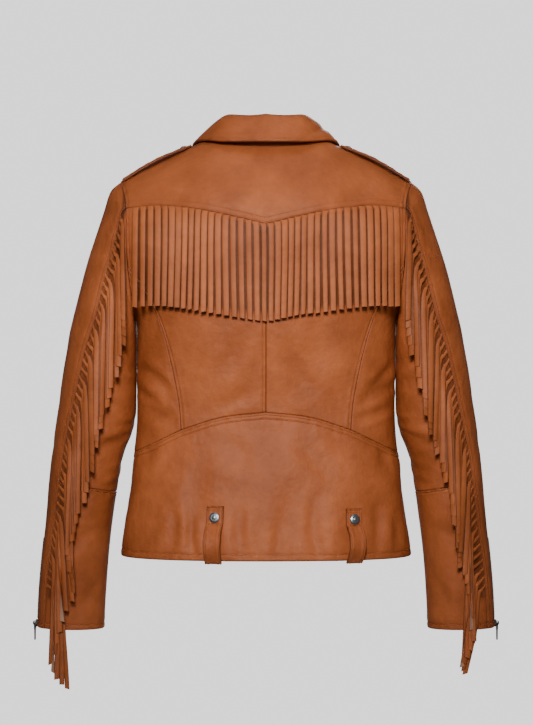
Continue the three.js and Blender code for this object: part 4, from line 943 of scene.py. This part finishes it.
def build_tabs():
    for side, half in SIDES:
        t = fine(8, 4, 12)[:, None] / 8
        across = (fine(6, 4, 6.5) / 3 - 1)[None, :]
        x = TAB["outer"] + (TAB["inner"] - TAB["outer"]) * t
        wide = TAB["outer_half"] + (TAB["inner_half"] - TAB["outer_half"]) * t
        y = wide * (1 - 0.55 * np.maximum(0, (t - 0.86) / 0.14) ** 2) * across
        lift = CLOTH + TAB["lift"] + TAB["arch"] * np.sin(np.pi * t) - y**2 / 150 * 0.8
        points = stack(half * x, y, shoulder_height(x) + lift * math.hypot(1, SHOULDER_SLOPE))
        facing = unit(np.array([half * SHOULDER_SLOPE, 0, 1.0]))
        normals = np.broadcast_to(facing, points.shape).copy()
        cloth(f"epaulette_{side}", points, normals, dict.fromkeys(("bottom", "left", "right"), (3,)),
              seed=27, flat=(0.044, 0.108), area=0.0046, held="laid", rests=["back_yoke"])
        lo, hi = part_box(f"epaulette_{side}_snap")
        middle = (np.array(lo) + np.array(hi)) * 500
        snap(f"epaulette_{side}_snap", middle - facing * 1.4, facing, 5.5, 2.8)


def build_loops():
    for name, x, lean, top in LOOPS:
        bottom = HEM - LOOP["below"]
        t = fine(8, 5, 9.5) / 8
        rows = []
        facings = []
        for share in t:
            z = top + (bottom - top) * share
            bow = math.pi * max(0, share - LOOP["seat"]) / (1 - LOOP["seat"])
            spots = x + lean * share + LOOP["half"] * np.array([-1, -0.5, 0, 0.5, 1])
            under = body_point(-1, spots, np.full(5, max(HEM, z)))
            slope = (under[4, 1] - under[0, 1]) / (2 * LOOP["half"])
            facing = unit(np.array([slope, -1, 0.0]))
            bulge = max(0, ((under - under[2]) @ facing).max())
            lift = CLOTH * 1.15 + 0.45 + bulge + LOOP["arch"] * max(0, math.sin(bow)) ** 0.75
            along = np.array([-facing[1], facing[0], 0]) * LOOP["half"]
            row = under[2] + along * (fine(4, 4, 5.8) / 2 - 1)[:, None] + facing * lift
            row[:, 2] = z
            rows.append(row)
            facings.append(np.broadcast_to(facing, row.shape))
        points = np.array(rows)
        normals = grid_normals(points, np.array(facings))
        cloth(f"belt_loop_{name}", points, normals, dict.fromkeys(("top", "left", "right"), (2.5,)),
              seed=29, flat=(0.024, 0.097), area=0.0023, rests=["back_lower"])
        tacked = np.searchsorted(t, LOOP["tack"])
        stitch_lines.append(np.concatenate([points[tacked], normals[tacked]], axis=-1)[4:-4])
        seat = np.searchsorted(t, LOOP["stud"]), points.shape[1] // 2
        snap(f"belt_loop_{name}_stud", points[seat] + normals[seat] * 0.5, normals[seat], 7, 3.4)


def strand_block(rows, tone):
    """One cut strand: rows of a left and a right edge point with outward directions, cupped a little."""
    left, right, out = (np.array([row[k] for row in rows]) for k in range(3))
    middle = (left + right) / 2 + out * 0.35
    quarter = [left * 0.86 + right * 0.14 + out * 0.18, left * 0.14 + right * 0.86 + out * 0.18]
    back = FRINGE["thick"] * out
    ring = [left - 0.3 * back, quarter[0], middle, quarter[1], right - 0.3 * back, right - back,
            middle - back * 1.25, left - back]
    vertices = np.array(ring).transpose(1, 0, 2).reshape(-1, 3)
    wide = len(ring)
    faces = grid_faces(len(rows), wide, closed=True, turned=True).tolist()
    kinds = [1 if j in (5, 6) else 0 for _ in range(len(rows) - 1) for j in range(wide)]
    last = (len(rows) - 1) * wide
    faces.append(tuple(range(wide)))
    faces.append(tuple(range(last + wide - 1, last - 1, -1)))
    kinds += [1, 1]
    # Painted shade along each strand's edges and on its back, so that neighbouring strands part with dark
    # lines
    edge_shade = np.tile([0.95, 0.05, 0, 0.05, 0.95, 0.6, 0.2, 0.6], len(rows))
    return vertices, faces, kinds, edge_shade + tone


def comb(node, blocks):
    """A fringe from its strands."""
    vertices, faces, kinds, tones = zip(*blocks)
    starts = np.cumsum([0] + [len(block) for block in vertices])
    faces = [tuple(i + int(start) for i in face) for start, block in zip(starts, faces) for face in block]
    made = mesh_object(f"{node}_strands", np.concatenate(vertices), faces, ["strand", "flesh"],
                       face_kinds=sum(kinds, []), tones=np.concatenate(tones))
    dress(made, node)


def wave(n, k):
    """An uneven number from -1 to 1 for a strand, another for each use."""
    return math.sin(n * 12.9898 + k * 4.1414)


def rearmost(x, z):
    """How far the back stands out anywhere from the yoke seam down to a height."""
    heights = np.arange(float(yoke_height(abs(x))) - 1, z - 5, -4)
    if not len(heights):
        return 0.0
    return float(-body_point(-1, np.full(len(heights), x), heights)[:, 1].min())


def build_yoke_fringe():
    half = YOKE_FRINGE["half"]
    pitch = 2 * half / YOKE_FRINGE["strands"]
    blocks = []
    for n in range(YOKE_FRINGE["strands"]):
        middle = -half + pitch * (n + 0.5)
        seam = float(yoke_height(abs(middle)))
        end = fringe_end(middle) + 3.2 * wave(n, 1) + 1.6 * wave(n, 8)
        width = FRINGE["yoke_width"] - 0.3 - 1.6 * random.random()
        shift = 1.5 * wave(n, 3) + 0.6 * wave(n, 12)
        sway = 3.1 * wave(n, 2) + 2.4 * wave(n, 9) + 3 * (middle / half) ** 3
        curl = 0.9 * wave(n, 5)
        stand_off = 2.1 + 1.9 * wave(n, 4)
        rows = []
        for drop in YOKE_DROPS:
            z = max(seam - drop, end)
            t = (seam - z) / (seam - end)
            root = max(0.0, 1 - drop / 4)
            breadth = (width + (pitch + 0.6 - width) * root) * (1.04 - 0.14 * t)
            centre = middle + shift * (1 - root) + sway * t**1.6 + 0.5 * wave(n, 6) * math.sin(5 * t)
            pair = []
            for sign in (-1, 1):
                x = centre + sign * breadth / 2
                place = middle + sign * pitch / 2
                if drop < 5:
                    y = float(body_point(-1, place, z)[1]) - 0.5 - 0.4 * drop / 3
                else:
                    y = -max(rearmost(place, z), rearmost(middle, z)) - 1.1
                y -= FRINGE["thick"] + 0.4 * t * (1 + wave(n, 7))
                y -= (stand_off + 0.5 * sign * curl) * min(1, drop / 30)
                pair.append(np.array([x, y, z + sign * 0.8 * wave(n, 4) * (t > 0.98)]))
            rows.append((*pair, unit(np.array([-0.18 * curl, -1.0, 0]))))
            if z <= end:
                break
        blocks.append(strand_block(rows, 0.28 * random.random() - 0.1))
    comb("fringe_yoke", blocks)


class SleeveBack:
    """The back of a sleeve as columns of points from outside its seam to near its inner edge."""

    def __init__(self, half):
        step, column = np.meshgrid(np.linspace(0, 1.25, 420), np.arange(8.0, 0, -1), indexing="ij")
        self.columns = sleeve_point(half, step, column).transpose(1, 0, 2)

    def row(self, z):
        """How far sideways and back each column is at a height."""
        return [(np.interp(-z, -column[:, 2], np.abs(column[:, 0])),
                 np.interp(-z, -column[:, 2], column[:, 1])) for column in self.columns]

    def seam(self, z):
        return self.row(z)[2][0]

    def rearmost(self, x, z, drop):
        y = 0.0
        for below in ((0, 15, 30) if drop > 6 else (0,)):
            row = self.row(z - below)
            for i in range(1, len(row)):
                if i > 1 and row[i - 1][0] <= x:
                    break
                share = min(1, (row[i - 1][0] - x) / (row[i - 1][0] - row[i][0]))
                y = min(y, row[i - 1][1] + (row[i][1] - row[i - 1][1]) * max(0, share))
        return y


def twisted(pair, angle, half, curl):
    """A strand's two edge points turned about its middle, with its outward direction."""
    centre = (pair[0] + pair[1]) / 2
    spread = (pair[1] - pair[0]) / 2
    reach = spread[0]
    centre[1] -= abs(reach * math.sin(angle))
    spread[0] = reach * math.cos(angle)
    spread[1] -= abs(reach) * math.sin(angle)
    facing = np.array([-half * (0.12 * curl + math.sin(angle)), -math.cos(angle), 0.0])
    return centre - half * spread, centre + half * spread, unit(facing)


def build_sleeve_fringes():
    drop_readers = {-1: reader(COURSE, 1), 1: reader(COURSE, 3)}
    across_readers = {-1: reader(COURSE, 2), 1: reader(COURSE, 4)}
    for side, half in SIDES:
        back = SleeveBack(half)
        top_z = float(sleeve_point(half, SLEEVE_FRINGE_START, BACK_SEAM)[2])
        count = round((top_z - SLEEVE_FRINGE_END) / FRINGE["pitch"])
        blocks = []
        for n in range(count + 1):
            root = top_z - FRINGE["pitch"] * n
            low = n / count
            free = back.seam(root) - 10 + 5 * low**2
            gathered = round((free + 3 * half) / GATHER) * GATHER - 3 * half
            scattered = 18 * max(0, low - 0.62) / 0.38 * (0.5 + 0.5 * wave(n, 15 + half))
            hang = max(SLEEVE_FRINGE_INNER, 0.4 * free + 0.6 * gathered - 1.6 * wave(n, 3) - scattered)
            length = SLEEVE_FRINGE_LENGTH + 8 * wave(n, 4) - 12 * low**3 * (1 + wave(n, 13 + half))
            fan = 0.4 + 2.7 * low**2
            sway = fan * (4.0 * wave(n, 2 + half) + 3.2 * wave(n, 6 + half)) - 7 * low**4
            curl = 1.8 * wave(n, 5 + half)
            stand_off = 2.2 + 2.1 * wave(n, 9 + half)
            lift = FRINGE["lift"] + FRINGE["thick"] + 3.2 * max(0, 1 - n / 10)
            width = FRINGE["sleeve_width"] * (0.8 + 0.22 * random.random())
            twist = 2.5 if count - n in TWISTED else 0.55 * wave(n, 11 + half)
            rows = []
            for place in COURSE_PLACES:
                t = max(0, (place - 2) / 2)
                pair = []
                for sign in (-1, 1):
                    drop = float(drop_readers[sign](place))
                    across = min(1.0, max(0.0, float(across_readers[sign](place))))
                    if place > 3:
                        drop = 70 + (length - 70) * (place - 3) + sign * 1.5 * wave(n, 7) * (place - 3)
                    z = root - drop
                    start = back.seam(z)
                    x = start + (hang - start) * across + sign * across**2 * width / 2
                    x += sway * t**1.5 + 0.6 * wave(n, 8) * math.sin(5 * t)
                    y = back.rearmost(min(x, start) if across < 0.2 else x, z, drop)
                    y -= lift + FRINGE["shingle"] * drop * (0.5 + 0.5 * min(1, drop / 60))
                    y -= 0.45 * sign * curl * min(1, t * 4) + stand_off * min(1, place / 2.2)
                    pair.append(np.array([half * x, y, z]))
                rows.append(twisted(pair, twist * t**1.3, half, curl))
            blocks.append(strand_block(rows, 0.34 * random.random() - 0.12))
        comb(f"fringe_sleeve_{side}", blocks)


def build_teeth():
    """Zip teeth on the chains of the front and the cuffs, pointing left and right by turns."""
    vertices = []
    faces = []
    up = np.array([0, 0, 1.0])

    def tooth(n, centre, out, across):
        way = across if n % 2 else -across
        base = len(vertices)
        for a in (-0.45, 0.45):
            for b, c in ((-0.8, 0), (1.6, 0), (1.6, 0.7), (-0.8, 0.7)):
                vertices.append(centre + up * a + way * b + out * c)
        faces.extend([tuple(base + i for i in f) for f in
                      ((0, 1, 2, 3), (7, 6, 5, 4), (0, 4, 5, 1), (1, 5, 6, 2), (2, 6, 7, 3),
                       (3, 7, 4, 0))])

    for n, z in enumerate(np.arange(FRONT_ZIP_TOP, HEM + 6, -TOOTH_PITCH)):
        out = body_normal(1, np.array(0.0), np.array(z))
        tooth(n, body_point(1, 0.0, z) + out * 0.1, out, np.array([1.0, 0, 0]))
    for half in (-1, 1):
        steps = np.arange(CUFF_ZIP["start"], CUFF_ZIP["end"], TOOTH_PITCH / SLEEVE_LENGTH)
        for n, step in enumerate(steps):
            spot = sleeve_point(half, step, CUFF_ZIP["column"])
            across = unit(sleeve_point(half, step, CUFF_ZIP["column"] + 0.1) - spot)
            out = np.array([across[1], -across[0], 0.0])
            out = out * half * np.sign(out[0])
            tooth(n, spot + out * 1.4, out, across)
    dress(mesh_object("zip_teeth", vertices, faces, ["zip_metal"], flat=True))


def dress_metal():
    """Gives the solids of the zips, which stay as they are, the look of worn metal."""
    for name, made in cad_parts.items():
        if "zip" in name:
            made.data.materials.clear()
            made.data.materials.append(materials["zip_metal"])


def area_light(name, place, size, power, colour, spread, aim_height):
    """A round light that faces a height on the jacket's middle line."""
    data = bpy.data.lights.new(name, "AREA")
    data.shape = "DISK"
    data.size = size
    data.energy = power
    data.color = colour
    data.spread = math.radians(spread)
    made = show(name, data)
    made.location = place
    aim = np.array([0, 0, aim_height]) - np.array(place)
    from_up = math.atan2(math.hypot(aim[0], aim[1]), -aim[2])
    made.rotation_euler = (from_up, 0, math.atan2(aim[1], aim[0]) - math.pi / 2)


def build_studio():
    world = bpy.data.worlds.new("studio")
    world.use_nodes = True
    tree = world.node_tree
    background = tree.nodes["Background"]
    background.inputs["Color"].default_value = (1, 1, 1, 1)
    direction = add_node(tree, "TexCoord", {})
    parts = add_node(tree, "SeparateXYZ", {})
    backdrop = add_node(tree, "MapRange", {"From Min": 0.9, "From Max": 0.97, "To Min": AMBIENT,
                                           "To Max": BACKDROP}, interpolation_type="SMOOTHSTEP")
    link(direction, "Generated", parts, "Vector")
    link(parts, "Y", backdrop, "Value")
    link(backdrop, "Result", background, "Strength")
    bpy.context.scene.world = world
    for row in LIGHTS:
        area_light(*row)
    make_surface("floor_grey", {"Base Color": (0.66, 0.66, 0.66, 1), "Roughness": 0.9})
    mesh = bpy.data.meshes.new("floor")
    (wide, deep, height) = FLOOR
    mesh.from_pydata([(wide * math.cos(a), deep * math.sin(a), height)
                      for a in np.linspace(0, 2 * math.pi, 96, endpoint=False)], [], [tuple(range(96))])
    mesh.materials.append(materials["floor_grey"])
    show("floor", mesh)
    camera = bpy.data.cameras.new("camera")
    camera.sensor_fit = "VERTICAL"
    camera.sensor_height = CAMERA["sensor"]
    camera.lens = CAMERA["lens"]
    made = show("camera", camera)
    made.location = CAMERA["place"]
    made.rotation_euler = (math.radians(90), 0, 0)
    bpy.context.scene.camera = made


build_body()
build_sleeves()
build_collar()
build_tabs()
build_loops()
build_yoke_fringe()
build_sleeve_fringes()
build_teeth()
sew("stitching", stitch_lines)
dress_metal()
build_studio()
